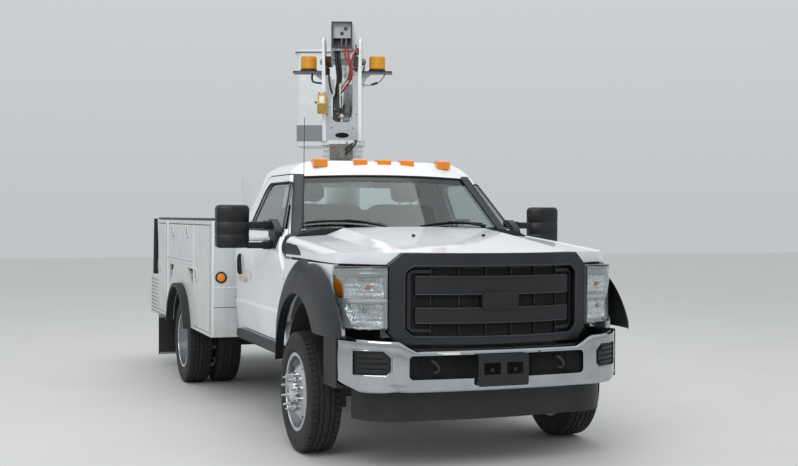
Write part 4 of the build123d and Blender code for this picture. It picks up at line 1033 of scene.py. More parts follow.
@dataclass
class Paintwork:
    """Finishes of the CAD nodes that stay in view."""

    plan: dict[str, Finish] = field(default_factory=lambda: {
        "frame_rails": CHASSIS_PAINT, "engine_block": CAST_IRON, "driveline": CAST_IRON,
        "fuel_tank": CHASSIS_PAINT,
        "front_axle": CAST_IRON, "rear_axle": CAST_IRON, "knuckle": CAST_IRON, "front_tyre": TYRE,
        "rear_tyres": TYRE, "front_rim": WHEEL_STEEL, "rear_rims": WHEEL_STEEL, "cab_shell": CAB_PAINT,
        "cab_glass": GLASS, "door": CAB_PAINT, "door_glass": GLASS, "cab_interior": DASH,
        "grille_surround": CHARCOAL, "grille_bars": BLACK_PLASTIC, "hood": CAB_PAINT, "fenders": CAB_PAINT,
        "fender_flares": CHARCOAL, "headlamps": CLEAR_LENS, "bumper": CHROME, "lower_trim": DUSTY_PLASTIC,
        "cowl": BLACK_PLASTIC, "marker_lamps": AMBER_LENS, "door_fittings": BLACK_PLASTIC,
        "side_steps": DUSTY_PLASTIC, "service_body": BODY_PAINT, "front_locker_door": BODY_PAINT,
        "top_locker_door": BODY_PAINT, "rear_locker_door": BODY_PAINT, "body_rubber": SEAL_RUBBER,
        "tail_deck": BODY_PAINT, "grab_posts": BLACK_PLASTIC, "tail_lamps": RED_LENS,
        "boom_rest": LIFT_PAINT,
        "pedestal": LIFT_PAINT, "turntable": LIFT_PAINT, "slew_drive": OILY_CAST, "beacons": BEACON_LENS,
        "control_box": YELLOW_ENAMEL, "boom_outer": LIFT_PAINT, "boom_inner": LIFT_PAINT,
        "bucket_bracket": LIFT_PAINT, "bucket": GEL_COAT, "lift_barrel": CYLINDER_GREY,
        "lift_rod": ROD_CHROME})

    def build(self, nodes: dict[str, bpy.types.Object]) -> None:
        """Give each CAD node its finish.

        Args:
            nodes: CAD nodes by name.
        """
        for name, piece in nodes.items():
            stem = name.removesuffix("_left").removesuffix("_right")
            piece.data.materials.clear()
            piece.data.materials.append(self.plan[stem].material())


@dataclass
class Tyres:
    """Six treaded tyres in place of the plain CAD rings."""

    radius: float = 405.0
    pitches: int = 58
    groove: float = 9.0
    columns: tuple[float, ...] = (-95, -89, -66, -60, -57, -51, -48, -27, -24, -18, -15, 0,
                                  15, 18, 24, 27, 48, 51, 57, 60, 66, 89, 95)
    grooves: tuple[tuple[float, float], ...] = ((-57, -51), (-24, -18), (18, 24), (51, 57))
    wall: tuple[tuple[float, float], ...] = ((-84, 249), (-92, 256), (-96, 266), (-106, 282), (-111, 300),
                                             (-112.5, 322),
                                             (-112.8, 338), (-111, 342), (-111, 346), (-112, 350),
                                             (-110, 368),
                                             (-104, 384), (-99, 394))

    def tread(self, x: float, step: int) -> tuple[float, float]:
        """Place and radius of a tread point.

        Args:
            x: Column's place across the tyre.
            step: Step round the tyre, four to a pitch.

        Returns:
            Shifted place and radius.
        """
        pitch, phase = divmod(step, 4)
        shift = 3.0 * (1 if pitch % 2 else -1) if abs(x) < 60 else 0.0
        radius = self.radius - 0.0006 * x * x
        if any(low <= x <= high for low, high in self.grooves):
            return x + shift, radius - self.groove
        if abs(x) >= 66 and phase in (2, 3):
            return x, radius - 7.0
        if abs(x) == 60 and phase in (2, 3):
            return x, radius - 3.0
        return x + shift, radius

    def tyre(self, centre_x: float, axle_y: float) -> Form:
        """One tyre.

        Args:
            centre_x: Middle of the tread.
            axle_y: Axle's place along the truck.

        Returns:
            The form.
        """
        form = Form()
        rows = []
        for step in range(self.pitches * 4):
            pitch, phase = divmod(step, 4)
            angle = math.tau * (pitch + (0.0, 0.62, 0.68, 0.94)[phase]) / self.pitches
            row = [(centre_x + x, r) for x, r in self.wall]
            row += [(centre_x + p, r) for p, r in (self.tread(x, step) for x in self.columns)]
            row += [(centre_x - x, r) for x, r in reversed(self.wall)]
            rows.append([(x, axle_y + r * math.sin(angle), AXLE_Z + r * math.cos(angle)) for x, r in row])
        rows.append(rows[0])
        form.skin(rows)
        return form

    def build(self) -> None:
        """Make the tyres."""
        for side in Side:
            front = self.tyre(950.0, 0.0).side(side).make(
                "treaded_front_tyre_" + side.word, "front_wheel_" + side.word, TYRE, "tyre")
            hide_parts("front_tyre_" + side.word)
            pair = self.tyre(804.0, WHEELBASE).join(self.tyre(1076.0, WHEELBASE)).side(side)
            rear = pair.make("treaded_rear_tyres_" + side.word, "rear_wheels_" + side.word, TYRE, "tyre")
            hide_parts("rear_tyres_" + side.word)


def along(line: Sequence[Point], run: float) -> tuple[float, float]:
    """Point at a distance along a flat line of points.

    Args:
        line: The line.
        run: Distance from its start.

    Returns:
        The point, on the last run's end if the line is shorter.
    """
    for (ax, ay), (bx, by) in zip(line, line[1:]):
        length = math.dist((ax, ay), (bx, by))
        if run <= length:
            return ax + (bx - ax) * run / length, ay + (by - ay) * run / length
        run -= length
    return tuple(line[-1])


def spread(line: Sequence[Point], steps: int) -> list[tuple[float, float]]:
    """Points at even distances along a flat line."""
    total = sum(math.dist(a, b) for a, b in zip(line, line[1:]))
    return [along(line, total * k / steps) for k in range(steps + 1)]


def between(pairs: Sequence[Point], at: float) -> float:
    """Value at a place, from pairs of place and value in rising order.

    Args:
        pairs: Pairs of place and value.
        at: The place.

    Returns:
        The value.
    """
    if at <= pairs[0][0]:
        return pairs[0][1]
    for (a, v), (b, w) in zip(pairs, pairs[1:]):
        if at <= b:
            return v + (w - v) * (at - a) / (b - a)
    return pairs[-1][1]


class LampPart(Enum):
    """Regions of the headlamp behind its lens."""

    FRAME = 0
    BOWL = 1
    MARKER = 2
    BRIGHT = 3


@dataclass
class Headlamps:
    """Stacked clear lamps: a lens over two fluted bowls, with an amber marker at the side."""

    plan: tuple[Point, ...] = ((692, -822), (850, -790), (944, -690), (958, -620), (968, -545))
    seam: tuple[Point, ...] = ((886, -686), (965, -650), (1061, -607), (1150, -567), (1200, -547),
                               (1279, -583))
    low: float = 889.0
    high: float = 1276.0
    upper: tuple[float, float, float, float] = (26, 292, 1082, 1216)
    lower: tuple[float, float, float, float] = (28, 300, 904, 1050)
    marker_s: float = 304.0
    line: list[tuple[float, float]] = field(default_factory=list)

    def __post_init__(self) -> None:
        """Lay out the plan curve."""
        self.line = arc(*self.plan[:3], 20) + arc(*self.plan[2:], 10)[1:]

    def reach(self, z: float) -> float:
        """Run along the plan curve at which the lamp ends at a height.

        Args:
            z: The height.

        Returns:
            The run.
        """
        limit, run = between(self.seam, z), 0.0
        for (ax, ay), (bx, by) in zip(self.line, self.line[1:]):
            if by >= limit:
                return run + math.dist((ax, ay), (bx, by)) * (limit - ay) / (by - ay)
            run += math.dist((ax, ay), (bx, by))
        return run

    def place(self, run: float, z: float, depth: float) -> tuple[float, float, float]:
        """Point behind the lens."""
        x, y = along(self.line, run)
        return x - 0.3 * depth, y + 0.954 * depth, z

    def bowl(self, run: float, z: float) -> float:
        """Distance inside the nearest edge of a bowl, or less than nothing outside both.

        Args:
            run: Place along the plan curve.
            z: Height.

        Returns:
            The distance.
        """
        best = -1.0
        for low, high, bottom, top in (self.upper, self.lower):
            inside = min(run - low, high - run, z - bottom, top - z)
            if (low, high, bottom, top) == self.lower:
                inside = min(inside, 0.5 * (z - bottom) - 0.87 * (run - 215) + 6)
            else:
                inside = min(inside, 0.7 * (top - z) + 0.7 * (high - run) - 24)
            best = max(best, inside)
        return best

    def relief(self, run: float, z: float) -> tuple[float, LampPart]:
        """Depth and finish behind the lens at a place.

        Args:
            run: Place along the plan curve.
            z: Height.

        Returns:
            The depth and the part.
        """
        inside = self.bowl(run, z)
        if inside > 0:
            deep = math.sqrt(1 - (1 - min(inside / 42, 1)) ** 2)
            flute = abs((run / 17 + 0.5 * ((z // 34) % 2)) % 1 - 0.5) * 2
            step = abs((z / 34) % 1 - 0.5) * 2
            return 10 + 52 * deep - 7 * flute * deep - 4 * step * deep, LampPart.BOWL
        if z > 1238:
            return 12 + 5 * abs((z / 13) % 1 - 0.5) * 2, LampPart.FRAME
        if run > self.marker_s and 1090 < z < 1198:
            return 6 + 1.5 * abs((z / 9) % 1 - 0.5) * 2, LampPart.MARKER
        if 1056 < z < 1078 or (run > 215 and z < 1056):
            return 7, LampPart.BRIGHT
        return 11, LampPart.FRAME

    def lens(self) -> Form:
        """Outer lens.

        Returns:
            The form.
        """
        form = Form()
        rows = []
        for k in range(21):
            z = self.low + (self.high - self.low) * k / 20
            rows.append([self.place(self.reach(z) * j / 28, z, 0.0) for j in range(29)])
        form.skin(rows)
        return form

    def back(self) -> Form:
        """Bowls, frame and marker in one pressed surface, and the wall round them.

        Returns:
            The form.
        """
        form = Form()
        tall, wide = 84, 104
        grid = []
        for k in range(tall + 1):
            z = self.low + (self.high - self.low) * k / tall
            end = self.reach(z) - 3
            grid.append([(end * j / wide, z) for j in range(wide + 1)])
        base = [self.place(run, z, self.relief(run, z)[0]) for row in grid for run, z in row]
        faces, marks = [], []
        for k in range(tall):
            for j in range(wide):
                run, z = grid[k][j]
                next_run, next_z = grid[k + 1][j + 1]
                a = k * (wide + 1) + j
                faces.append((a, a + 1, a + wide + 2, a + wide + 1))
                marks.append(self.relief((run + next_run) / 2, (z + next_z) / 2)[1].value)
        form.add(base, faces)
        form.marks[-len(marks):] = marks
        edge = [grid[0][j] for j in range(wide + 1)] + [grid[k][wide] for k in range(tall + 1)]
        edge += [grid[tall][wide - j] for j in range(wide + 1)] + [grid[tall - k][0]
                                                                   for k in range(tall + 1)]
        form.skin([[self.place(run, z, 1.5) for run, z in edge],
                   [self.place(run, z, 40) for run, z in edge]])
        return form

    def bulbs(self) -> Form:
        """Turn signal bulb above, beam bulb with its shield below.

        Returns:
            The form.
        """
        form = Form()
        for mark, run, z in ((0, 128, 1150), (1, 150, 1000)):
            form.mark = mark
            form.bar(self.place(run, z, 58), self.place(run, z, 34), 13, 16)
            form.bar(self.place(run, z, 34), self.place(run, z, 26), 13, 16, 6)
        return form

    def build(self) -> None:
        """Make both lamps."""
        back, lens, bulbs = self.back(), self.lens(), self.bulbs()
        for side in Side:
            lens.side(side).make("headlamp_lens_" + side.word, "chassis", CLEAR_LENS,
                                               "lamp_clear",
                                               thick=3.0)
            back.side(side).make("headlamp_bowls_" + side.word, "chassis",
                                               (SATIN_FRAME, REFLECTOR, AMBER_LENS, BRIGHT_FRAME),
                                               smooth=False)
            bulbs.side(side).make("headlamp_bulbs_" + side.word, "chassis",
                                                (AMBER_LENS, CHROME))
        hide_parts("headlamps")


@dataclass
class Flares:
    """Broad moulded arch flares and the black housings inside them."""

    steps: int = 64
    wide: tuple[Point, ...] = ((-855, 890), (-560, 1200), (-140, 1272), (330, 1190), (507, 880))
    narrow: tuple[Point, ...] = ((-640, 890), (-440, 1092), (-90, 1162), (290, 1082), (494, 860))
    hub: Point = (0.0, 565.0)
    lip_r: float = 501.0
    front_z: float = 842.0
    rear_z: float = 567.0
    skin_x: float = 1000.5
    crest_x: float = 1066.0

    def path(self, corners: Sequence[Point]) -> list[tuple[float, float]]:
        """One edge of the flare from its front foot over the wheel to its rear foot, in (Y, Z)."""
        line = [(corners[0][0], self.front_z)] + arc(*corners[:3], 24) + arc(*corners[2:], 24)[1:]
        return spread([*line, (corners[4][0], self.rear_z)], self.steps)

    def lip(self, radius: float) -> list[tuple[float, float]]:
        """Wheel opening edge at a radius, in (Y, Z).

        Args:
            radius: Distance from the arch centre.

        Returns:
            The points.
        """
        first = math.pi - math.asin((self.front_z - self.hub[1]) / radius)
        return [(self.hub[0] + radius * math.cos(a), self.hub[1] + radius * math.sin(a))
                for a in (first * (1 - k / self.steps) for k in range(self.steps + 1))]

    def flare(self) -> Form:
        """Left flare, crowned in section and rolled in at the opening.

        Returns:
            The form.
        """
        rows = []
        for wide, narrow, lip, roll in zip(self.path(self.wide), self.path(self.narrow),
                                           self.lip(self.lip_r),
                                           self.lip(self.lip_r + 5)):
            row = []
            for k in range(8):
                t = k / 7
                y, z = [wide[i] * (1 - t) ** 2 + 2 * t * (1 - t) * (0.5 * wide[i] + 0.5 * narrow[i])
                        + t * t * (0.45 * narrow[i] + 0.55 * lip[i]) for i in (0, 1)]
                x = self.skin_x * (1 - t) ** 2 + 2 * t * (1 - t) * (self.crest_x + 2) + t * t * self.crest_x
                row.append((x, y, z))
            row += [(self.crest_x - 1, *lip), (self.crest_x - 6, *lip), (self.crest_x - 10, *roll),
                    (1001, *roll)]
            rows.append(row)
        form = Form()
        form.skin(rows)
        return form

    def housing(self) -> Form:
        """Left wheel housing.

        Returns:
            The form.
        """
        form = Form()
        rows = []
        for k in range(41):
            a = math.radians(152) - math.radians(124) * k / 40
            ring = [(x, r * math.cos(a), 470 + r * math.sin(a)) for x, r in
                    ((970, 536), (700, 536), (640, 530), (637, 300))]
            rows.append([(x, y, max(z, 722)) for x, y, z in ring])
        form.skin(rows)
        return form

    def build(self) -> None:
        """Make both flares and housings."""
        for side in Side:
            flare = self.flare().side(side).make("arch_flare_" + side.word, "chassis", CHARCOAL, "trim_grey",
                                                 levels=1, thick=3.5)
            self.housing().side(side).make("wheel_housing_" + side.word, "chassis", LINER, thick=3.0)
            if side is Side.LEFT:
                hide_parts("fender_flares")


@dataclass
class FrontTrim:
    """Small parts of the nose: grille edges and back, tow hooks, fog blank lips, nozzles and vents."""

    bars: tuple[Point, ...] = ((1104, 1217), (926, 1021))
    half: float = 526.0
    centre_y: float = -978.0
    radius: float = 1517.0
    hook_x: float = 430.0
    fog: tuple[Point, ...] = ((916, 614), (916, 768), (751, 768), (706, 727), (706, 641), (733, 614))
    nozzle: Point = (262, -140, 1452)

    def nose(self, x: float, back: float) -> float:
        """Y of the curved front at X, moved back."""
        return self.centre_y + self.radius - math.sqrt(self.radius ** 2 - x * x) + back

    def bumper_y(self, x: float) -> float:
        """Y of the bumper's face at X."""
        return between(((0, -1003), (300, -993), (600, -962), (735, -925), (860, -860), (930, -790),
                        (985, -690)),
                       abs(x))

    def grille_edges(self) -> Form:
        """Rubbed edges of the bars and the bead round the opening.

        Returns:
            The form.
        """
        form = Form()
        for low, high in self.bars:
            for z in (low + 1.5, high - 1.5):
                row = [(x, self.nose(x, 9.0), z) for x in range(-int(self.half), int(self.half) + 1, 24)]
                form.tube(row, 4.0, 8)
        form.mark = 1
        ring = [(548, 1283), (596, 1240), (596, 885), (548, 842)]
        ring += [(-x, z) for x, z in ring[::-1]]
        path = spread([*ring, ring[0]], 96)
        form.tube([(x, self.nose(x, -1.0), z) for x, z in path], 6.0, 8)
        return form

    def hooks(self) -> Form:
        """Tow hooks in the bumper's slot.

        Returns:
            The form.
        """
        form = Form()
        for sign in (-1, 1):
            x = sign * self.hook_x
            path = [(x - 26, -905, 700), (x - 26, -962, 702), (x - 16, -984, 694), (x + 12, -990, 668),
                    (x + 18, -984, 640), (x + 4, -966, 626), (x - 14, -960, 630)]
            form.tube(path, 9.5, 10)
        return form

    def fog_lips(self) -> Form:
        """Chrome lips round the fog lamp blanks.

        Returns:
            The form.
        """
        form = Form()
        for sign in (-1, 1):
            path = spread([*self.fog, self.fog[0]], 60)
            form.tube([(sign * x, self.bumper_y(x) + 3, z) for x, z in path], 5.0, 8)
        return form

    def nozzles(self) -> Form:
        """Washer nozzles on the bonnet.

        Returns:
            The form.
        """
        form = Form()
        x, y, z = self.nozzle
        for sign in (-1, 1):
            form.bar((sign * x, y, z - 14), (sign * x, y, z + 9), 13, 14)
            form.bar((sign * x, y, z + 9), (sign * x, y, z + 15), 13, 14, 7)
        return form

    def scoops(self) -> Form:
        """Black vent plates at the rear of the bonnet sides.

        Returns:
            The form.
        """
        form = Form()
        plate = [(490, 1317), (466, 1397), (220, 1386), (140, 1352), (104, 1319)]
        for sign in (-1, 1):
            form.mark = 0
            form.prism([(y, z) for y, z in plate], "X", sign * 987.0, sign * 995.0)
            form.mark = 1
            for z in (1332, 1348, 1364, 1380):
                left = between(((1317, 104), (1352, 140), (1386, 220)), z) + 26
                form.slab((sign * 994.5 - 1.5, left, z - 3), (sign * 994.5 + 2.0, 462, z + 3))
        return form

    def lamp_edge_strip(self) -> Form:
        """Thin rubber strips along the outer edge of the headlamps.

        Returns:
            The form.
        """
        form = Form()
        for sign in (-1, 1):
            path = [(968, -545, 1276), (970, -540, 1198), (967, -560, 1150), (962, -600, 1062),
                    (957, -643, 965),
                    (950, -680, 888)]
            form.tube([(sign * x, y, z) for x, y, z in path], 2.6, 8)
        return form

    def grille_back(self) -> Form:
        """Black mesh-like back behind the bars.

        Returns:
            The form.
        """
        form = Form()
        form.skin([[(half * k / 16, self.nose(half * k / 16, 44.6), z) for k in range(-16, 17)]
                   for z, half in ((860, 540), (896, 571), (1230, 571), (1266, 540))])
        return form

    def slot_back(self) -> Form:
        """Dark panel behind the bumper's slot: painted shade seen through it.

        Returns:
            The form.
        """
        form = Form()
        form.slab((-612, -914, 548), (612, -909, 756))
        for x in (-500, -250, 250, 500):
            form.slab((x - 5, -922, 560), (x + 5, -912, 750))
        return form

    def bumper_marks(self) -> Form:
        """Blank strip stuck over the slot and a rust spot in the chrome.

        Returns:
            The form.
        """
        form = Form()
        xs = range(-425, -257, 24)
        form.skin([[(x, self.bumper_y(x) - 1.2, z) for x in xs] for z in (738.5, 752)])
        form.mark = 1
        spot = [(258, 738), (262, 745), (268, 747), (276, 743), (274, 738), (266, 736)]
        form.prism(spot, "Y", self.bumper_y(267) - 1.5, self.bumper_y(267) + 2)
        return form

    def bracket_marks(self) -> Form:
        """Square holes of the plate bracket, drawn as flat dark patches of painted shade.

        Returns:
            The form.
        """
        form = Form()
        for x in (-78, 78):
            form.prism([(x + dx, 640 + dz) for dx, dz in round_box(22, 22, 4)], "Y", -1036.2, -1035.2)
        return form

    def build(self) -> None:
        """Make the trim."""
        self.grille_edges().make("grille_edges", "chassis", (CHARCOAL_EDGE, CHARCOAL_EDGE), "trim_grey")
        self.hooks().make("tow_hooks", "chassis", CHASSIS_PAINT, levels=1)
        self.fog_lips().make("fog_blank_lips", "chassis", CHROME)
        self.nozzles().make("washer_nozzles", "bonnet", BLACK_PLASTIC)
        self.scoops().make("bonnet_vent_plates", "bonnet", (BLACK_PLASTIC, CHARCOAL_EDGE), bevel=1.5)
        self.lamp_edge_strip().make("headlamp_edge_strips", "chassis", SEAL_RUBBER)
        # Dark patches standing for the bracket's holes: painted shade
        self.bracket_marks().make("bracket_holes", "chassis", FRIT)
        self.grille_back().make("grille_back", "chassis", LINER)
        # Dark panel behind the slot: painted shade
        self.slot_back().make("slot_back", "chassis", LINER)
        self.bumper_marks().make("bumper_marks", "chassis", (LABEL, RUSTED))


@dataclass
class Bumper:
    """Pressed chrome bumper with rolled edges, a tow slot, lamp blanks and a bent lower corner."""

    deep: float = 39.0
    crown: float = 7.0
    top: tuple[Point, ...] = ((0, 762), (560, 762), (660, 824), (985, 838))
    foot: tuple[Point, ...] = ((0, 505), (880, 505), (985, 560))
    fog: tuple[Point, ...] = ((918, 612), (918, 770), (750, 770), (704, 728), (704, 640), (732, 612))
    slot: tuple[float, float, float, float] = (1200.0, 147.0, 661.5, 28.0)
    dent_x: float = -676.0

    def face(self) -> list[tuple[float, float]]:
        """Plan line of the face, from the right end to the left one.

        Returns:
            The points.
        """
        end = arc((-985, -690), (-860, -860), (-600, -962), 14)
        middle = arc((-600, -962), (0, -1003), (600, -962), 26)
        return end + middle[1:] + [(-x, y) for x, y in end[::-1]][1:]

    def profile(self, x: float) -> list[tuple[float, float]]:
        """Depth behind the face and height round one section.

        Args:
            x: Its place across the truck.

        Returns:
            The closed section.
        """
        high, low = between(self.top, abs(x)), between(self.foot, abs(x))
        dent = math.exp(-((x - self.dent_x) / 34) ** 2)
        middle = (high + low) / 2
        rim = [(self.deep, high - 7), (22, high - 1), (9, high - 2), (2.5, high - 9), (0.6, high - 19)]
        front = [(self.crown * abs(t) ** 2, middle + t * (high - low - 60) / 2)
                 for t in (0.86, 0.6, 0.3, 0.0, -0.3, -0.6, -0.86)]
        foot = [(0.6, low + 20), (2.5 + 9 * dent, low + 10), (9 + 11 * dent, low + 3 + 5 * dent),
                (22 + 6 * dent, low + 1 + 3 * dent), (self.deep, low + 7)]
        return rim + [(d * 0.5 + 9 * dent * max(0.0, (middle + 40 - z) / 160), z) for d, z in front] + foot

    def shell(self) -> Form:
        """Solid bumper before it is pierced.

        Returns:
            The form.
        """
        form = Form()
        line = self.face()
        rows = []
        for k, (x, y) in enumerate(line):
            (ax, ay), (bx, by) = line[max(k - 1, 0)], line[min(k + 1, len(line) - 1)]
            run = math.hypot(bx - ax, by - ay)
            nx, ny = -(by - ay) / run, (bx - ax) / run
            rows.append([(x + nx * d, y + ny * d, z) for d, z in self.profile(x)])
        form.skin(rows, closed=True, capped=True)
        return form

    def cutter(self) -> Form:
        """Slot and lamp blank openings.

        Returns:
            The form.
        """
        form = Form()
        wide, tall, level, radius = self.slot
        form.prism([(x, level + z) for x, z in round_box(wide, tall, radius)], "Y", -1100, -850)
        for sign in (-1, 1):
            form.prism([(sign * x, z) for x, z in self.fog][::sign], "Y", -1100, -640)
        return form

    def build(self) -> None:
        """Press, pierce and plate the bumper."""
        piece = self.shell().make("chrome_bumper", "chassis", CHROME, "chrome")
        tool = self.cutter().make("bumper_cutter", "chassis", CHROME)
        for solid in (piece, tool):
            sides = bmesh.new()
            sides.from_mesh(solid.data)
            bmesh.ops.recalc_face_normals(sides, faces=sides.faces)
            sides.to_mesh(solid.data)
            sides.free()
        cut = piece.modifiers.new("openings", "BOOLEAN")
        cut.operation, cut.solver, cut.object = "DIFFERENCE", "EXACT", tool
        bpy.context.view_layer.update()
        pierced = bpy.data.meshes.new_from_object(piece.evaluated_get(bpy.context.evaluated_depsgraph_get()))
        piece.modifiers.clear()
        piece.data = pierced
        pierced.shade_smooth()
        pierced.set_sharp_from_angle(angle=SMOOTH_UNDER)
        bpy.data.objects.remove(tool)
        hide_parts("bumper")


@dataclass
class Wheels:
    """Bright covers on the hubs and nuts of all wheels."""

    nuts: int = 10
    circle_r: float = 112.5

    def face(self, x0: float, y: float, nut_at: float, dome: Sequence[Point]) -> Form:
        """Nut cover skirts and hub cap of a left wheel.

        Args:
            x0: Place of the dome's profile across the truck.
            y: Axle's place along the truck.
            nut_at: Foot of the nut covers across the truck.
            dome: Profile of the hub cap.

        Returns:
            The form.
        """
        form = Form()
        form.lathe(dome, (x0, y, AXLE_Z), "X", 40)
        for k in range(self.nuts):
            a = math.tau * k / self.nuts
            centre = (nut_at, y + self.circle_r * math.sin(a), AXLE_Z + self.circle_r * math.cos(a))
            form.lathe(((0, 21), (3, 21), (5, 18.5), (38, 17.0), (41, 19.0), (44, 18.5), (48, 12), (55, 7.6),
                        (86, 5.6),
                        (91, 0.01)), centre, "X", 18)
        return form

    def build(self) -> None:
        """Make the covers."""
        front_dome = ((80, 92), (84, 92), (88, 78), (92, 73), (126, 70), (134, 66), (139, 52), (141, 20),
                      (141, 0.01))
        rear_dome = ((6, 97), (10, 97), (12, 94.5), (108, 94), (122, 88), (131, 70), (134, 30), (134, 0.01))
        for side in Side:
            front = self.face(950, 0, 1034, front_dome).side(side)
            front.make("front_hub_cover_" + side.word, "front_wheel_" + side.word, NUT_CHROME)
            rear = self.face(940, WHEELBASE, 946, rear_dome).side(side)
            rear.make("rear_hub_cover_" + side.word, "rear_wheels_" + side.word, NUT_CHROME)
            for name, x, y, body in (("front_bead_", 1050.5, 0, "front_wheel_"),
                                     ("rear_bead_", 1176.5, WHEELBASE, "rear_wheels_")):
                bead = Form()
                bead.lathe(((-2, 251), (-1, 261), (1.5, 263.5), (3, 260), (1.5, 252)), (x, y, AXLE_Z), "X",
                           72, True)
                bead.side(side).make(name + side.word, body + side.word, NUT_CHROME)


def screen(x: float, z: float, out: float = 0.0) -> tuple[float, float, float]:
    """Point on the curved windscreen surface at X and a height, standing out by a distance.

    Args:
        x: Place across the truck.
        z: Height.
        out: Distance off the surface.

    Returns:
        The point.
    """
    sag = 3000 - math.sqrt(9.0e6 - x * x)
    rise = (z - 1462 + 0.7608 * sag) / 0.649
    return x + out * x / 3000, 560 + 0.649 * sag + 0.7608 * rise - 0.649 * out, z + 0.7608 * out


def side_x(z: float) -> float:
    """Half width of the cab at a height."""
    return between(((652, 973), (880, 1005), (905, 993), (1180, 1005), (1330, 999), (1450, 952),
                    (1925, 752)), z)


@dataclass
class Screen:
    """Black edge, shade band, pillar mouldings, wipers and aerial round the windscreen."""

    bottom: Point = (846.0, 1490.0)
    top: Point = (712.0, 1897.0)
    band: float = 34.0
    shade: float = 44.0

    def edge(self, z: float) -> float:
        """Half width of the glass at a height."""
        return self.bottom[0] + (self.top[0] - self.bottom[0]) * (z - self.bottom[1]) / (self.top[1]
                                                                                         - self.bottom[1])

    def loop(self, side: float, low: float, high: float) -> list[tuple[float, float]]:
        """Outline of the glass drawn in by an amount at the sides, bottom and top.

        Args:
            side: Amount at the sides.
            low: Amount at the bottom.
            high: Amount at the top.

        Returns:
            The points in X and Z.
        """
        z0, z1 = self.bottom[1] + low, self.top[1] - high
        points = []
        for k in range(24):
            u = k / 12 - 1
            points.append((u * (self.edge(z0) - side), z0 - 11 * (1 - u * u)))
        points += [(self.edge(z0 + (z1 - z0) * k / 12) - side, z0 + (z1 - z0) * k / 12) for k in range(12)]
        for k in range(24):
            u = 1 - k / 12
            points.append((u * (self.edge(z1) - side), z1 + 16 * (1 - u * u)))
        points += [(-self.edge(z1 - (z1 - z0) * k / 12) + side, z1 - (z1 - z0) * k / 12) for k in range(12)]
        return points

    def frit(self) -> Form:
        """Black ceramic border just over the glass.

        Returns:
            The form.
        """
        form = Form()
        form.skin([[screen(x, z, -12.6) for x, z in self.loop(1, 1, 1)],
                   [screen(x, z, -12.6) for x, z in self.loop(self.band, self.band - 6, self.shade)]],
                  closed=True)
        return form

    def moulding(self) -> Form:
        """Charcoal moulding on the left pillar.

        Returns:
            The form.
        """
        form = Form()
        rows = []
        for k in range(25):
            z = 1442 + (1908 - 1442) * k / 24
            x0, x1 = self.edge(z) - 52, self.edge(z) + 29
            cut = max(0.0, 1 - (z - 1442) / 50) * 20
            rows.append([screen(x0 + cut, z, -10), screen(x0 + cut, z, 5), screen(x0 + 12 + cut, z, 10),
                         screen((x0 + x1) / 2, z, 12), screen(x1 - 12, z, 10), screen(x1, z, 5),
                         screen(x1, z, 0.5)])
        form.skin(rows)
        return form

    def wiper(self, path: Sequence[Point], pivot: Point, grip: Point) -> Form:
        """One blade and its arm.

        Args:
            path: Blade's line in X and Z on the glass.
            pivot: Foot of the arm in X and Z.
            grip: Where the arm holds the blade.

        Returns:
            The form.
        """
        form = Form()
        line = arc(*path, 16)
        form.tube([screen(x, z, 2) for x, z in line], 6.5, 8)
        form.tube([screen(x, z, 13) for x, z in line[1:-1]], 5.0, 8)
        form.tube([screen(*pivot, 26), screen((pivot[0] + grip[0]) / 2, (pivot[1] + grip[1]) / 2 + 4, 30),
                   screen(*grip, 22)], 9, 8)
        form.bar(screen(*pivot, -6), screen(*pivot, 34), 19, 14, 14)
        form.bar(screen(*grip, 6), screen(*grip, 26), 10, 10)
        return form

    def aerial(self) -> Form:
        """Whip aerial on its rubber foot.

        Returns:
            The form.
        """
        form = Form()
        form.bar((-832, 598, 1440), (-831, 600, 1486), 16, 14, 8)
        form.tube([(-831, 600, 1480), (-829, 606, 1700), (-824, 618, 2000), (-817, 634, 2304)], 2.6, 8)
        return form

    def build(self) -> None:
        """Make the fittings."""
        self.frit().make("windscreen_black_edge", "chassis", FRIT, smooth=False)
        for side in Side:
            self.moulding().side(side).make("pillar_moulding_" + side.word, "chassis", CHARCOAL, levels=1,
                                            thick=2.0)
        right = self.wiper(((-800, 1526), (-500, 1546), (-175, 1512)), (-205, 1494), (-470, 1543))
        left = self.wiper(((40, 1500), (300, 1531), (690, 1520)), (640, 1497), (330, 1530))
        right.join(left).make("wipers", "chassis", BLACK_PLASTIC)
        self.aerial().make("whip_aerial", "chassis", SEAL_RUBBER)


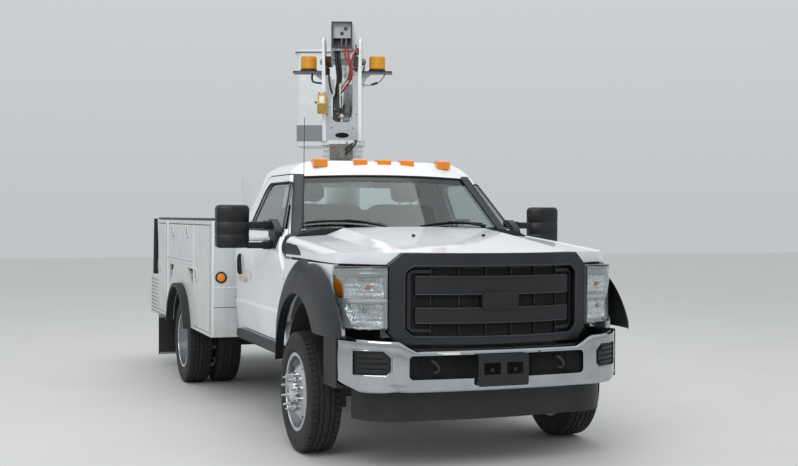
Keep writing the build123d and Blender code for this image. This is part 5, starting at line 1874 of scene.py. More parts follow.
@dataclass
class DoorFittings:
    """Tow mirrors, pulls, handles, window seals and lock caps on the doors."""

    head_x: Point = (1157.0, 1403.0)
    head_y: Point = (870.0, 983.0)
    levels_z: tuple[Point, ...] = ((1349, 24), (1353, 10), (1364, 2), (1443, 0), (1448, 4), (1453, 0),
                                   (1537, 0),
                                   (1542, 5), (1548, 0), (1640, 0), (1654, 6), (1663, 16), (1667, 30))
    window: tuple[Point, ...] = ((800, 1490), (1136, 1850), (1750, 1850), (1822, 1790), (1862, 1490))

    def head(self) -> Form:
        """Mirror head with its moulded creases.

        Returns:
            The form.
        """
        x0, x1 = self.head_x
        y0, y1 = self.head_y
        form = Form()
        rows = []
        for z, inset in self.levels_z:
            front = arc((x0 + inset, y0 + 52), ((x0 + x1) / 2 + 10, y0 + inset * 0.6), (x1 - inset, y0 + 38),
                        14)
            rows.append([(x, y, z) for x,
                         y in [(x0 + inset, y1 - inset * 0.4), *front, (x1 - inset, y1 - inset * 0.4)]])
        form.skin(rows, closed=True, capped=True)
        return form

    def glass(self) -> Form:
        """Flat and wide-angle mirror panes in the head's back.

        Returns:
            The form.
        """
        form = Form()
        y = self.head_y[1]
        for z, tall in ((1556, 190), (1408, 84)):
            form.prism([(1280 + x, z + dz) for x, dz in round_box(214, tall, 16)], "Y", y - 6, y + 1.5)
        return form

    def arms(self) -> Form:
        """Two telescoping arms, their collars and the foot on the door.

        Returns:
            The form.
        """
        form = Form()
        for z, tall in ((1519, 50), (1368, 46)):
            form.prism([(927 + y, z + dz) for y, dz in round_box(42, tall, 10)], "X", 1040, 1172)
            form.prism([(927 + y, z + dz) for y, dz in round_box(58, tall + 15, 14)], "X", 962, 1046)
            form.prism([(927 + y, z + dz) for y, dz in round_box(50, tall + 8, 12)], "X", 1046, 1056)
        foot = [(768, 1345), (768, 1470), (800, 1510), (900, 1562), (968, 1562), (974, 1345)]
        form.prism(foot, "X", 944, 1000)
        return form

    def slide(self) -> Form:
        """Plated slide rod between the arms.

        Returns:
            The form.
        """
        form = Form()
        form.bar((1000, 936, 1413), (1164, 936, 1413), 13, 16)
        return form

    def pull(self) -> Form:
        """Upright pull bar.

        Returns:
            The form.
        """
        form = Form()
        form.tube([(1001, 1862, 1112), (1024, 1862, 1118), (1030, 1862, 1140), (1031, 1862, 1190),
                   (1030, 1862, 1240),
                   (1024, 1862, 1264), (1001, 1862, 1270)], 9, 12)
        form.prism([(1862 + y, 1191 + z) for y, z in round_box(34, 172, 15)], "X", 998, 1020)
        return form

    def handle(self) -> Form:
        """Flat handle with its cup.

        Returns:
            The form.
        """
        form = Form()
        form.prism([(1775 + y, 1083 + z) for y, z in round_box(236, 52, 25, 8)], "X", 999, 1019)
        return form

    def seals(self) -> Form:
        """Rubber round the window and the belt strip under it.

        Returns:
            The form.
        """
        form = Form()
        line = spread([*self.window, self.window[0]], 90)
        form.tube([(side_x(z) - 3, y, z) for y, z in line], 7, 8)
        belt = [(side_x(1478) - 2, y, 1478) for y in range(770, 1921, 50)]
        form.tube(belt, 9, 8)
        return form

    def build(self) -> None:
        """Make both doors' fittings."""
        for side in Side:
            body = "cab_door_" + side.word
            head = self.head().side(side).make("mirror_head_" + side.word, body, BLACK_PLASTIC,
                                               "black_plastic",
                                               bevel=3.0)
            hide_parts("door_fittings_" + side.word)
            self.glass().side(side).make("mirror_panes_" + side.word, body, MIRROR)
            self.arms().side(side).make("mirror_arms_" + side.word, body, BLACK_PLASTIC, bevel=2.0)
            self.slide().side(side).make("mirror_slide_" + side.word, body, WHITE_HOSE)
            self.pull().side(side).make("door_pull_" + side.word, body, BLACK_PLASTIC)
            self.handle().side(side).make("door_handle_" + side.word, body, LOCK_CAP, bevel=5.0)
            self.seals().side(side).make("window_seals_" + side.word, body, SEAL_RUBBER)


@dataclass
class Interior:
    """Bench seat, dashboard, wheel and mirror seen through the glass."""

    dash_line: tuple[Point, ...] = ((560, 1290), (560, 1418), (640, 1424), (720, 1424), (800, 1408),
                                    (860, 1378),
                                    (890, 1330), (898, 1276), (850, 1205), (800, 1152), (560, 1132))

    def pad(self, low: Point, high: Point, crown: float, tilt: float = 0.0) -> Form:
        """Stuffed cushion whose faces swell between its seams.

        Args:
            low: Lowest corner.
            high: Highest corner.
            crown: How far the faces swell.
            tilt: Lean towards the rear in degrees, about the lower front edge.

        Returns:
            The form.
        """
        n = 14
        half = [(b - a) / 2 - crown for a, b in zip(low, high)]
        centre = Vector([(a + b) / 2 for a, b in zip(low, high)])
        lean = Matrix.Rotation(math.radians(-tilt), 3, "X")
        form = Form()
        for at in range(3):
            for sign in (-1, 1):
                rows = []
                for i in range(n + 1):
                    row = []
                    for j in range(n + 1):
                        u, v = 2 * i / n - 1, 2 * j / n - 1
                        p = [0.0, 0.0, 0.0]
                        p[at], p[(at + 1) % 3], p[(at + 2) % 3] = sign, u, v
                        swell = crown * math.sqrt(max(0.0, (1 - u ** 4) * (1 - v ** 4)))
                        channel = 9 * math.exp(-((math.fmod(abs(p[0]) * 3 + 0.5, 1) - 0.5) / 0.09) ** 2)
                        round_off = 1 - 0.05 * (abs(u) ** 8 + abs(v) ** 8)
                        q = Vector([c * h * round_off for c, h in zip(p, half)])
                        q[at] += sign * max(0.0, swell - (channel if at and swell > 6 else 0.0))
                        row.append(lean @ q + centre)
                    rows.append(row)
                form.skin(rows if sign > 0 else rows[::-1])
        return form

    def seats(self) -> list[tuple[str, Form]]:
        """Seat and back cushions with their headrests.

        Returns:
            Names and forms.
        """
        made = []
        for word, x0, x1 in (("driver", 60, 690), ("passenger", -690, 40)):
            made.append((word + "_seat", self.pad((x0, 1255, 960), (x1, 1790, 1150), 22)))
            made.append((word + "_back", self.pad((x0, 1725, 1120), (x1, 1865, 1690), 20, 9)))
        for word, x in (("driver", 430), ("passenger", -430)):
            made.append((word + "_headrest", self.pad((x - 130, 1815, 1705), (x + 130, 1905, 1868), 20, 9)))
        return made

    def dash(self) -> Form:
        """Dashboard that follows the windscreen's curve.

        Returns:
            The form.
        """
        form = Form()
        rows = []
        for k in range(33):
            x = -858 + 1716 * k / 32
            rows.append([(x, max(y, min(screen(x, max(z, 1380))[1] + 46, 880)), z) for y,
                         z in self.dash_line])
        form.skin(rows, closed=True, capped=True)
        return form

    def wheel(self) -> Form:
        """Steering wheel with its spokes, boss and column.

        Returns:
            The form.
        """
        form = Form()
        centre = Vector((430, 985, 1335))
        across, up = Vector((1, 0, 0)), Vector((0, 0.42, 0.91)).normalized()
        ring = [centre + 196 * (math.cos(math.tau * k / 40) * across + math.sin(math.tau * k / 40) * up)
                for k in range(41)]
        form.tube(ring, 15, 10)
        for a in (math.radians(200), math.radians(340), math.radians(270)):
            form.tube([centre, centre + 190 * (math.cos(a) * across + math.sin(a) * up)], 13, 8)
        form.bar(centre + Vector((0, 18, -8)), centre + Vector((0, -30, 14)), 62, 20, 54)
        form.bar(centre, (430, 820, 1290), 38, 14)
        return form

    def build(self) -> None:
        """Make the cab's inside."""
        dash = self.dash().make("dashboard", "chassis", DASH, "grey_plastic", levels=1)
        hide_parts("cab_interior")
        for name, form in self.seats():
            piece = form.make(name, "chassis", SEAT_CLOTH, levels=1)
        box = Form()
        box.slab((-695, 1270, 868), (695, 1800, 985))
        box.slab((-700, 1845, 868), (700, 1905, 1150))
        box.slab((-640, 1855, 1150), (640, 1890, 1640))
        for x in (-430, 430):
            for dx in (-50, 50):
                box.bar((x + dx, 1852, 1640), (x + dx, 1862, 1760), 7, 10)
        box.make("seat_frame", "chassis", DASH, bevel=6.0)
        self.wheel().make("steering_wheel", "chassis", BLACK_PLASTIC)
        glass = Form()
        glass.prism([(x, 1838 + z) for x, z in round_box(250, 66, 26)], "Y", 1122, 1142)
        glass.bar((0, 1135, 1850), (0, 1120, 1905), 9, 10)
        glass.make("inner_mirror", "chassis", BLACK_PLASTIC, bevel=3.0)


def ring(centre: Point, outer: Sequence[Point], inner: Sequence[Point], axis: str,
         levels: Sequence[float]) -> Form:
    """Raised frame between two outlines.

    Args:
        centre: Middle of both outlines in the two axes other than axis.
        outer: Outer outline about the centre.
        inner: Inner outline with as many points.
        axis: "X" or "Y", along which the frame stands out.
        levels: Foot and crown, along the axis.

    Returns:
        The form.
    """
    form = Form()
    foot, crown = levels
    k = "XYZ".index(axis)
    rows = []
    for outline, level in ((outer, foot), (outer, crown), (inner, crown), (inner, foot)):
        row = []
        for p in outline:
            values = [centre[0] + p[0], centre[1] + p[1]]
            values.insert(k, level)
            row.append(tuple(values))
        rows.append(row)
    form.skin(rows, closed=True)
    return form


@dataclass
class UtilityBody:
    """Latches, strips, lamps and floors of the utility body and the tail deck."""

    face: float = 1198.0
    shell: float = 1192.0
    front_y: float = 2160.0
    latches: tuple[tuple[str, float, float], ...] = (
        ("front_locker", 2812, 1068), ("rear_locker", 4852, 1068), ("top_locker", 3254.5, 1442),
        ("top_locker", 4054.5, 1442))
    notches: tuple[tuple[Point, ...], ...] = (((4006, 1102), (4254, 1102), (4254, 886)),
                                              ((3001, 1102), (3253, 1102), (3041, 902), (3001, 902)))
    lens: Point = (1109, 1066)
    deck_y: float = 5563.0

    def latch(self, y: float, z: float) -> Form:
        """Paddle latch: pale bezel, dark recess, paddle and key barrel.

        Args:
            y: Its place along the truck.
            z: Its height.

        Returns:
            The form.
        """
        wide, high = round_box(122, 118, 44), round_box(58, 84, 27)
        form = ring((y, z), wide, high, "X", (self.face, self.face + 8))
        form.mark = 1
        form.prism([(y + dy, z + dz) for dy, dz in round_box(60, 86, 28)], "X", self.face - 1,
                   self.face + 1.2)
        form.mark = 2
        form.prism([(y - 6 + dy, z + 4 + dz) for dy, dz in round_box(24, 58, 10)], "X", self.face + 1,
                   self.face + 5)
        form.bar((self.face + 1, y + 16, z - 26), (self.face + 6, y + 16, z - 26), 8, 16)
        return form

    def strips(self) -> Form:
        """Upright and drip strip on the shell, front corner angle and its rivets, in a brighter white as
        painted highlight.

        Returns:
            The form.
        """
        form = Form()
        form.slab((self.shell - 1, 4330, 610), (self.shell + 3.5, 4428, 1538))
        form.slab((self.shell - 1, 3030, 1146), (self.shell + 6, 4306, 1158))
        form.slab((self.shell - 22, self.front_y - 3.5, 564), (self.shell + 3.5, self.front_y + 0.5, 1541))
        form.slab((self.shell - 1, self.front_y - 3.5, 564), (self.shell + 3.5, self.front_y + 26, 1541))
        for z in (588, 830, 1072, 1314, 1516):
            form.bar((self.shell + 3.5, self.front_y + 13, z), (self.shell + 5.5, self.front_y + 13, z), 5,
                     12, 3)
        return form

    def door_fold(self) -> Form:
        """Folded edge of the front locker door, in a brighter white as painted highlight.

        Returns:
            The form.
        """
        form = Form()
        form.slab((1193, 2938, 1112), (1197.5, 2976, 1498))
        return form

    def notch_inside(self) -> Form:
        """Dark back of the two openings, a grey bracket and a pale catch in each.

        Returns:
            The form.
        """
        form = Form()
        for notch in self.notches:
            form.mark = 0
            form.prism(list(notch), "X", 1169, 1171.5)
            form.mark = 1
            (ya, za), (yb, _), (yc, zc) = notch[0], notch[1], notch[-1]
            tip = yc if yc > ya else ya
            form.prism([(tip - 6, zc + 96), (tip - 6, zc + 40), (tip + (yb + ya - 2 * tip) * 0.32, za - 42),
                        (tip + (yb + ya - 2 * tip) * 0.5, za - 26)] if yc > ya else
                       [(tip + 6, zc + 92), (tip + 6, zc + 34), (tip + 150, za - 38), (tip + 206, za - 24),
                        (tip + 120, za - 22)], "X", 1171, 1179)
            form.mark = 2
            form.bar((1172, (ya + yb) / 2, za - 66), (1188, (ya + yb) / 2, za - 66), 12, 14, 9)
        return form

    def front_face(self) -> Form:
        """Amber lens in its dark ring, seam of the front panels, and their bead in the brighter white of
        painted highlight.

        Returns:
            The form.
        """
        form = Form()
        x, z = self.lens
        form.lathe([(0, 49), (-7, 49), (-12, 45), (-13, 40), (-6, 37)], (x, self.front_y, z), "Y", 36)
        form.mark = 1
        form.lathe([(-5, 37), (-12, 36), (-17, 32), (-16, 28), (-20, 22), (-19, 17), (-22, 10), (-22.5, 0)],
                   (x, self.front_y, z), "Y", 36)
        form.mark = 2
        form.tube([(648, self.front_y - 0.5, 977), (1166, self.front_y - 0.5, 977)], 4.5, 10)
        form.mark = 3
        form.slab((648, self.front_y - 1.4, 810), (1166, self.front_y + 0.4, 814))
        form.slab((980, self.front_y - 1.2, 900), (988, self.front_y + 0.4, 906))
        return form

    def mud_flap(self) -> Form:
        """Weight strip, clamp bar and bolts of the mud flap, with its bracket.

        Returns:
            The form.
        """
        form = Form()
        form.slab((704, 4635, 149), (1226, 4640.5, 166))
        form.slab((694, 4633, 528), (1236, 4640.5, 560))
        for x in (740, 880, 1020, 1160):
            form.bolt((x, 4633, 544), "Y", -1, 15, 7)
            form.bolt((x, 4635, 157.5), "Y", -1, 9, 4)
        form.prism([(1118, 560), (1168, 560), (1160, 528), (1126, 520)], "Y", 4650, 4662)
        return form

    def top_seal(self) -> Form:
        """Sponge seal along the locker roof.

        Returns:
            The form.
        """
        form = Form()
        form.prism([(1141, 1543.3), (1141, 1555), (1149, 1566), (1183, 1566), (1192.5, 1556),
                    (1192.5, 1543.3)],
                   "Y", 2176, 4958)
        return form

    def roof_welts(self) -> Form:
        """Bead along the inner roof edge, roof seams and lifting eyes.

        Returns:
            The form.
        """
        form = Form()
        form.tube([(652, 2180, 1545), (652, 4950, 1545)], 6, 10)
        for y in (2992, 4318):
            form.slab((660, y - 12, 1542), (1136, y + 12, 1545.5))
        for y in (2700, 4640):
            form.tube([(900, y - 30, 1544), (900, y - 28, 1566), (900, y - 12, 1582), (900, y + 12, 1582),
                       (900, y + 28, 1566), (900, y + 30, 1544)], 5, 10)
        return form

    def floors(self) -> Form:
        """Tread plate of the load bed and the tail deck.

        Returns:
            The form.
        """
        form = Form()
        form.slab((-636, 2548, 949.8), (636, 4941, 952.4))
        form.slab((-1102, 5006, 953.8), (1102, 5568, 956.2))
        for x in (-1102, 1096):
            form.slab((x, 5006, 956), (x + 6, 5568, 959))
        return form

    def arch_liner(self) -> Form:
        """Black housing over the rear wheels.

        Returns:
            The form.
        """
        form = Form()
        edge = [(3590 + 466 * math.cos(a), 440 + 466 * math.sin(a))
                for a in (math.radians(15 + 150 * k / 24) for k in range(25))]
        form.skin([[(x, y, z) for y, z in edge] for x in (658, 1189)])
        form.prism(edge, "X", 656, 659)
        return form

    def lamp_rings(self) -> Form:
        """Rubber rings of the tail lamps, ribs of their lenses and round reflectors.

        Returns:
            The form.
        """
        form = Form()
        for x in (860, 1050):
            frame = ring((x, 730), round_box(184, 84, 41), round_box(158, 60, 29), "Y",
                         (self.deck_y - 1, self.deck_y + 9))
            frame.marks = [0] * len(frame.faces)
            form.join(frame)
            form.mark = 1
            for k in range(-4, 5):
                form.bar((x + 15 * k, self.deck_y + 14.5, 706), (x + 15 * k, self.deck_y + 14.5, 754), 2.6,
                         8)
        form.mark = 1
        form.lathe([(0, 38), (5, 38), (8, 34), (8.5, 0)], (955, self.deck_y, 620), "Y", 30)
        form.mark = 0
        form.lathe([(-1, 44), (4, 44), (6, 41), (6, 37)], (955, self.deck_y, 620), "Y", 30)
        return form

    def tow_rings(self) -> Form:
        """Two D-rings with their straps on the hitch beam.

        Returns:
            The form.
        """
        form = Form()
        for x in (-320, 320):
            path = [(x - 34, 5594 - 16, 800), (x - 40, 5578, 770), (x - 34, 5577, 736), (x, 5576, 722),
                    (x + 34, 5577, 736), (x + 40, 5578, 770), (x + 34, 5578, 800), (x, 5578, 806),
                    (x - 34, 5578, 800)]
            form.tube([(px, 5574, pz) for px, _, pz in path], 7, 10)
            form.slab((x - 30, 5566, 786), (x + 30, 5582, 822))
            for dx in (-18, 18):
                form.bolt((x + dx, 5582, 812), "Y", 1, 11, 1.2)
        return form

    def build(self) -> None:
        """Make the fittings of the body."""
        for side in Side:
            for number, (locker, y, z) in enumerate(self.latches):
                self.latch(y, z).side(side).make(
                    f"{locker}_latch_{number}_{side.word}", f"{locker}_{side.word}",
                    (LATCH_PALE, LINER, BLACK_PLASTIC),
                    "chassis_steel", bevel=1.0)
            # Strips and the front locker door's fold are painted a brighter white as highlight
            self.strips().side(side).make("body_strips_" + side.word, "chassis", PAINTED_HIGHLIGHT_WHITE, "body_paint",
                                          bevel=0.8)
            self.door_fold().side(side).make("front_locker_fold_" + side.word, "front_locker_" + side.word,
                                             PAINTED_HIGHLIGHT_WHITE, "body_paint", bevel=1.2)
            self.notch_inside().side(side).make("body_openings_" + side.word, "chassis",
                                                (LINER, DULL_STEEL, LATCH_PALE), "chassis_steel", bevel=0.8)
            # The front panels' bead takes the same painted highlight
            self.front_face().side(side).make("body_front_fittings_" + side.word, "chassis",
                                              (SEAL_RUBBER, AMBER_LENS, PAINTED_HIGHLIGHT_WHITE, LINER), "lamp_amber")
            self.mud_flap().side(side).make("mud_flap_strips_" + side.word, "chassis", ALUMINIUM,
                                            "chassis_steel",
                                            bevel=0.8)
            self.arch_liner().side(side).make("rear_wheel_housing_" + side.word, "chassis", LINER, "rubber")
            self.top_seal().side(side).make("roof_seal_" + side.word, "chassis", TOP_SEAL, "rubber",
                                            bevel=2.0)
            self.roof_welts().side(side).make("roof_welts_" + side.word, "chassis", BODY_PAINT, "body_paint",
                                              bevel=0.8)
            self.lamp_rings().side(side).make("tail_lamp_rings_" + side.word, "chassis",
                                              (SEAL_RUBBER, RED_LENS),
                                              "lamp_red")
        self.floors().make("tread_floors", "chassis", TREAD_PLATE, "body_paint", bevel=0.6)
        self.tow_rings().make("tow_rings", "chassis", ZINC, "chassis_steel")


@dataclass
class LiftTurret:
    """Front plate sheet of painted shade, beacons, valve gear, hoses, cables and labels of the turning base.
    """

    foot: Point = (-140, 2239)
    lean: float = 90 / 556
    beacon_x: float = 300.0
    beacon_y: float = -55.0
    pivot: Point = (-40, 2940)
    hole: Point = (0, 2290)

    def plate_y(self, z: float, out: float = 0.0) -> float:
        """Y of the leaning front plate at a height, moved outwards."""
        return self.foot[0] - self.lean * (z - self.foot[1]) - out

    def leaning(self, form: Form, outline: Sequence[Point], out: float, thick: float) -> None:
        """Add a flat sheet that lies on the front plate.

        Args:
            form: Form that takes it.
            outline: Points in X and Z.
            out: How far its face stands off the plate.
            thick: Its thickness.
        """
        n = len(outline)
        points = [(x, self.plate_y(z, out), z) for x, z in outline]
        points += [(x, self.plate_y(z, out - thick), z) for x, z in outline]
        form.add(points, [tuple(range(n)), tuple(range(2 * n - 1, n - 1, -1)),
                          *((k, n + k, n + (k + 1) % n, (k + 1) % n) for k in range(n))])

    def front_skin(self) -> Form:
        """Sheet of painted shade over the front plate, round the ram slot and the oval hole.

        Returns:
            The form.
        """
        form = Form(LIFT)
        left = [(-156.5, 2345), (-170, 2795), (-93, 2795), (-93, 2768), (-58, 2764), (-58, 2652),
                (-66, 2624),
                (-93, 2604), (-93, 2470), (-84, 2434), (-62, 2411), (-30, 2403), (0, 2403), (0, 2345)]
        right = [(0, 2345), (0, 2403), (46, 2403), (74, 2412), (90, 2436), (93, 2470), (93, 2795),
                 (170, 2795),
                 (159, 2345)]
        self.leaning(form, left, 2.0, 2.4)
        self.leaning(form, right, 2.0, 2.4)
        low, high, half = 2241.0, 2345.0, 157.0
        edge = spread([(half, 2290), (half, high), (-half, high), (-half, low), (half, low), (half, 2290)],
                      48)[:-1]
        x0, z0 = self.hole
        inner = []
        for x, z in edge:
            a = math.atan2((z - z0) / 52, (x - x0) / half)
            inner.append((x0 + 60 * math.cos(a), z0 + 23 * math.sin(a)))
        rows = [[(x, self.plate_y(z, out), z) for x, z in line]
                for line, out in ((edge, 2.0), (inner, 2.0), (inner, -10.0))]
        form.skin(rows, closed=True)
        return form

    def hole_inside(self) -> Form:
        """Dark plate behind the oval hole: painted shade inside it.

        Returns:
            The form.
        """
        form = Form(LIFT)
        x0, z0 = self.hole
        oval = [(x0 + 59 * math.cos(math.tau * k / 32), z0 + 22 * math.sin(math.tau * k / 32))
                for k in range(32)]
        self.leaning(form, oval, -9.0, 3.0)
        return form

    def edges(self) -> Form:
        """Front edges of the two cheeks in a lighter enamel as painted highlight, bolts and pin caps.

        Returns:
            The form.
        """
        form = Form(LIFT)
        line = [(-130, 2241), (-220, 2795), (-236, 3090), (-222, 3108)]
        for sign in (-1, 1):
            rows = []
            for y, z in line:
                rows.append([(sign * 140, y - 11, z), (sign * 140, y - 16, z), (sign * 171, y - 16, z),
                             (sign * 171, y - 4, z), (sign * 150, y - 4, z)] if z < 2800 else
                            [(sign * 151, y - 3, z), (sign * 151, y - 8, z), (sign * 169.5, y - 8, z),
                             (sign * 169.5, y + 2, z), (sign * 152, y + 2, z)])
            form.skin(rows, closed=True, capped=True)
        form.mark = 1
        for x, z in ((-90, 2356), (95, 2352), (-128, 2470), (128, 2470)):
            form.bolt((x, self.plate_y(z, 2.0), z), "Y", -1, 11, 5)
        for sign in (-1, 1):
            y, z = self.pivot
            form.bar((sign * 168, y, z), (sign * 196, y, z), 31, 24, 28)
            form.bolt((sign * 194, y, z), "X", sign, 20, 7)
        return form

    def bosses(self) -> Form:
        """Rusted collars of the main pin inside the cheeks and a lower spacer.

        Returns:
            The form.
        """
        form = Form(LIFT)
        y, z = self.pivot
        for sign in (-1, 1):
            form.lathe([(sign * 104, 47.5), (sign * 108, 50), (sign * 146, 50), (sign * 151, 47)], (0, y, z),
                       "X", 28)
        form.lathe([(-150, 24), (-150, 30), (-112, 30), (-108, 24)], (0, -150, 2842), "X", 24)
        return form

    def plates(self) -> Form:
        """Dark grey trays under the beacons.

        Returns:
            The form.
        """
        form = Form(LIFT)
        for sign in (-1, 1):
            x0, x1 = sorted((sign * 169, sign * 431))
            form.slab((x0, -134, 2835.5), (x1, 24, 2850.1))
            form.slab((x0, -134, 2828), (x1, -129, 2850.1))
        return form

    def beacon(self) -> Form:
        """Ribbed lens, dark foot, reflector and lamp of one beacon.

        Returns:
            The form.
        """
        form = Form(LIFT)
        at = (self.beacon_x, self.beacon_y, 0)
        form.lathe([(2850.3, 74), (2862, 76), (2868, 71), (2872, 70)], at, "Z", 40)
        form.mark = 1
        wall: list[Point] = [(2871, 66)]
        for k in range(9):
            z = 2874 + 11.5 * k
            wall += [(z, 70), (z + 9.5, 70), (z + 10.5, 68.6)]
        wall += [(2979, 68), (2985.5, 60), (2986, 0)]
        form.lathe(wall, at, "Z", 48)
        form.mark = 2
        form.lathe([(2872, 50), (2900, 16), (2940, 14), (2962, 22), (2964, 0)], at, "Z", 20)
        return form

    def valve_gear(self) -> Form:
        """Oil manifold behind the slot, valve block by the right cheek and their fittings.

        Returns:
            The form.
        """
        form = Form(LIFT)
        form.slab((-84, -112, 2405), (-12, 60, 2650))
        form.slab((-76, -122, 2500), (-18, -112, 2640))
        form.slab((106, -200, 2846), (148, -110, 2992))
        form.slab((110, -206, 2884), (146, -200, 2960))
        form.prism([(106, 3000), (132, 3020), (150, 3020), (150, 2992), (106, 2992)], "Y", -190, -150)
        form.slab((84, -60, 2405), (100, 60, 2560))
        form.mark = 1
        for x, z in ((-66, 2628), (-40, 2628), (-66, 2520), (-40, 2480), (-28, 2450)):
            form.bar((x, -122, z), (x, -138, z), 9, 6)
        for x, z in ((118, 2870), (136, 2870), (118, 2972), (136, 2972)):
            form.bar((x, -200, z), (x, -216, z), 8, 6)
        form.mark = 2
        form.lathe([(-150, 0), (-150, 14), (-142, 20), (-112, 20)], (-4, 0, 2458), "Y", 20)
        return form

    def gearbox(self) -> Form:
        """Cover, bolts, motor and hose ends of the slewing gearbox.

        Returns:
            The form.
        """
        form = Form(LIFT)
        form.slab((-90, -306, 2084), (90, -300, 2196))
        form.bar((-44, -306, 2140), (-44, -316, 2140), 34, 24, 30)
        form.mark = 1
        for x in (-78, 78):
            for z in (2096, 2140, 2184):
                form.bolt((x, -306, z), "Y", -1, 12, 7)
        for z in (2120, 2160):
            form.bar((40, -306, z), (40, -320, z), 10, 6)
        return form

    def base_bolts(self) -> Form:
        """Bolt circle on the turning base.

        Returns:
            The form.
        """
        form = Form(LIFT)
        for k in range(18):
            a = math.tau * (k + 0.5) / 18
            x, y = 184 * math.cos(a), 184 * math.sin(a)
            if abs(x) > 176 or y > 0:
                form.bolt((x, y, 2239), "Z", 1, 12, 8)
        return form

    def lower_controls(self) -> Form:
        """Blank label, darker lid, knob, levers and clasps of the yellow box.

        Returns:
            The form.
        """
        form = Form(LIFT)
        form.slab((-208, -267, 2467), (-129, -262, 2540))
        for k in range(4):
            form.slab((-204, -269.5, 2474 + 16 * k), (-133, -266.5, 2480 + 16 * k))
        form.mark = 1
        form.slab((-190, -263.6, 2560), (-148, -261.5, 2618))
        form.mark = 2
        form.bar((-204, -236, 2566), (-216, -236, 2566), 5, 12)
        form.lathe([(-216, 4), (-218, 11), (-226, 12), (-230, 8), (-231, 0)], (0, -236, 2566), "X", 18)
        form.mark = 3
        form.slab((-209, -256, 2538), (-128, -266, 2544))
        for x in (-192, -146):
            form.bar((x, -240, 2640), (x, -240, 2652), 6, 12)
        return form

    def wiring(self) -> None:
        """Hoses and cables that stay on the turret."""
        runs: tuple[tuple[str, tuple[Point, ...], float, Finish], ...] = (
            ("beacon_cable_right",
             ((-267, -60, 2838), (-270, -78, 2800), (-264, -100, 2758), (-214, -112, 2747),
                                    (-166, -120, 2742)), 8.5, BLACK_HOSE),
            ("beacon_wire_left", ((372, -100, 2838), (364, -104, 2812), (346, -108, 2784), (328, -110, 2762),
                                  (306, -112, 2750)), 3.6, BLACK_HOSE),
            ("beacon_lead_left",
             ((250, -112, 2733), (226, -112, 2726), (196, -112, 2732), (166, -112, 2734)),
             3.0, BLACK_HOSE),
            ("slot_hose_white", ((-17, -150, 2800), (-18, -176, 2760), (-15, -186, 2690), (-17, -182, 2610),
                                 (-14, -150, 2530)), 7.5, WHITE_HOSE),
            ("slot_hose_brown", ((-34, -150, 2806), (-30, -180, 2770), (-26, -176, 2700), (-34, -160, 2640),
                                 (-40, -136, 2628)), 6.5, BROWN_HOSE),
            ("plate_hose_black",
             ((-112, -196, 2812), (-110, -244, 2796), (-106, -242, 2740), (-92, -224, 2670),
                                  (-76, -190, 2630), (-66, -138, 2628)), 8.0, BLACK_HOSE),
            ("cheek_hose_white", ((150, -150, 3070), (166, -224, 3050), (160, -238, 3000), (152, -226, 2950),
                                  (136, -214, 2972)), 8.0, WHITE_HOSE),
            ("cheek_hose_black",
             ((-146, -190, 2700), (-134, -232, 2830), (-128, -238, 2880), (-118, -200, 2860),
                                  (-114, -150, 2842)), 8.0, BLACK_HOSE),
            ("gearbox_hose_left", ((40, -318, 2120), (40, -336, 2120), (78, -344, 2150), (124, -300, 2200),
                                   (130, -190, 2240)), 8.0, BLACK_HOSE),
            ("gearbox_hose_right", ((40, -318, 2160), (40, -334, 2160), (70, -338, 2186), (112, -290, 2222),
                                    (112, -180, 2244)), 8.0, BLACK_HOSE))
        for name, path, radius, finish in runs:
            hose(name, path, radius, "lift_turret", finish)

    def joined_hoses(self) -> None:
        """Hoses between the turret and the boom, not attached to either body."""
        runs: tuple[tuple[str, tuple[Point, ...], float, Finish], ...] = (
            ("boom_hose_red_1", ((24, -196, 3060), (26, -238, 3030), (28, -244, 2960), (62, -238, 2890),
                                 (90, -222, 2835), (84, -190, 2780), (40, -140, 2720), (-28, -112, 2640)),
             8.5, RED_HOSE),
            ("boom_hose_red_2", ((50, -196, 3060), (50, -236, 3030), (58, -242, 2960), (78, -236, 2890),
                                 (96, -226, 2840), (112, -214, 2872)), 8.5, RED_HOSE),
            ("boom_hose_pink", ((140, -196, 2998), (150, -226, 3040), (112, -240, 3010), (84, -238, 2930),
                                (72, -226, 2850), (66, -180, 2790), (10, -130, 2740), (-40, -112, 2640)),
             8.0, RED_HOSE),
            ("boom_hose_grey", ((128, -196, 2998), (132, -222, 3030), (96, -234, 2990), (66, -230, 2920),
                                (54, -216, 2850), (44, -170, 2790), (0, -126, 2720), (-66, -112, 2640)),
             8.0, WHITE_HOSE),
            ("boom_hose_black_1",
             ((-58, -150, 3050), (-54, -204, 3010), (-48, -214, 2930), (-38, -206, 2850),
                                   (-30, -190, 2770), (-46, -160, 2690), (-58, -112, 2640)), 15.0,
             BLACK_HOSE),
            ("boom_hose_black_2",
             ((-28, -150, 3050), (-26, -204, 3010), (-24, -216, 2930), (-10, -206, 2850),
                                   (-6, -190, 2780), (-30, -160, 2700), (-46, -112, 2640)), 13.0,
             BLACK_HOSE))
        for name, path, radius, finish in runs:
            piece = hose(name, path, radius, "", finish)
            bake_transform(piece)

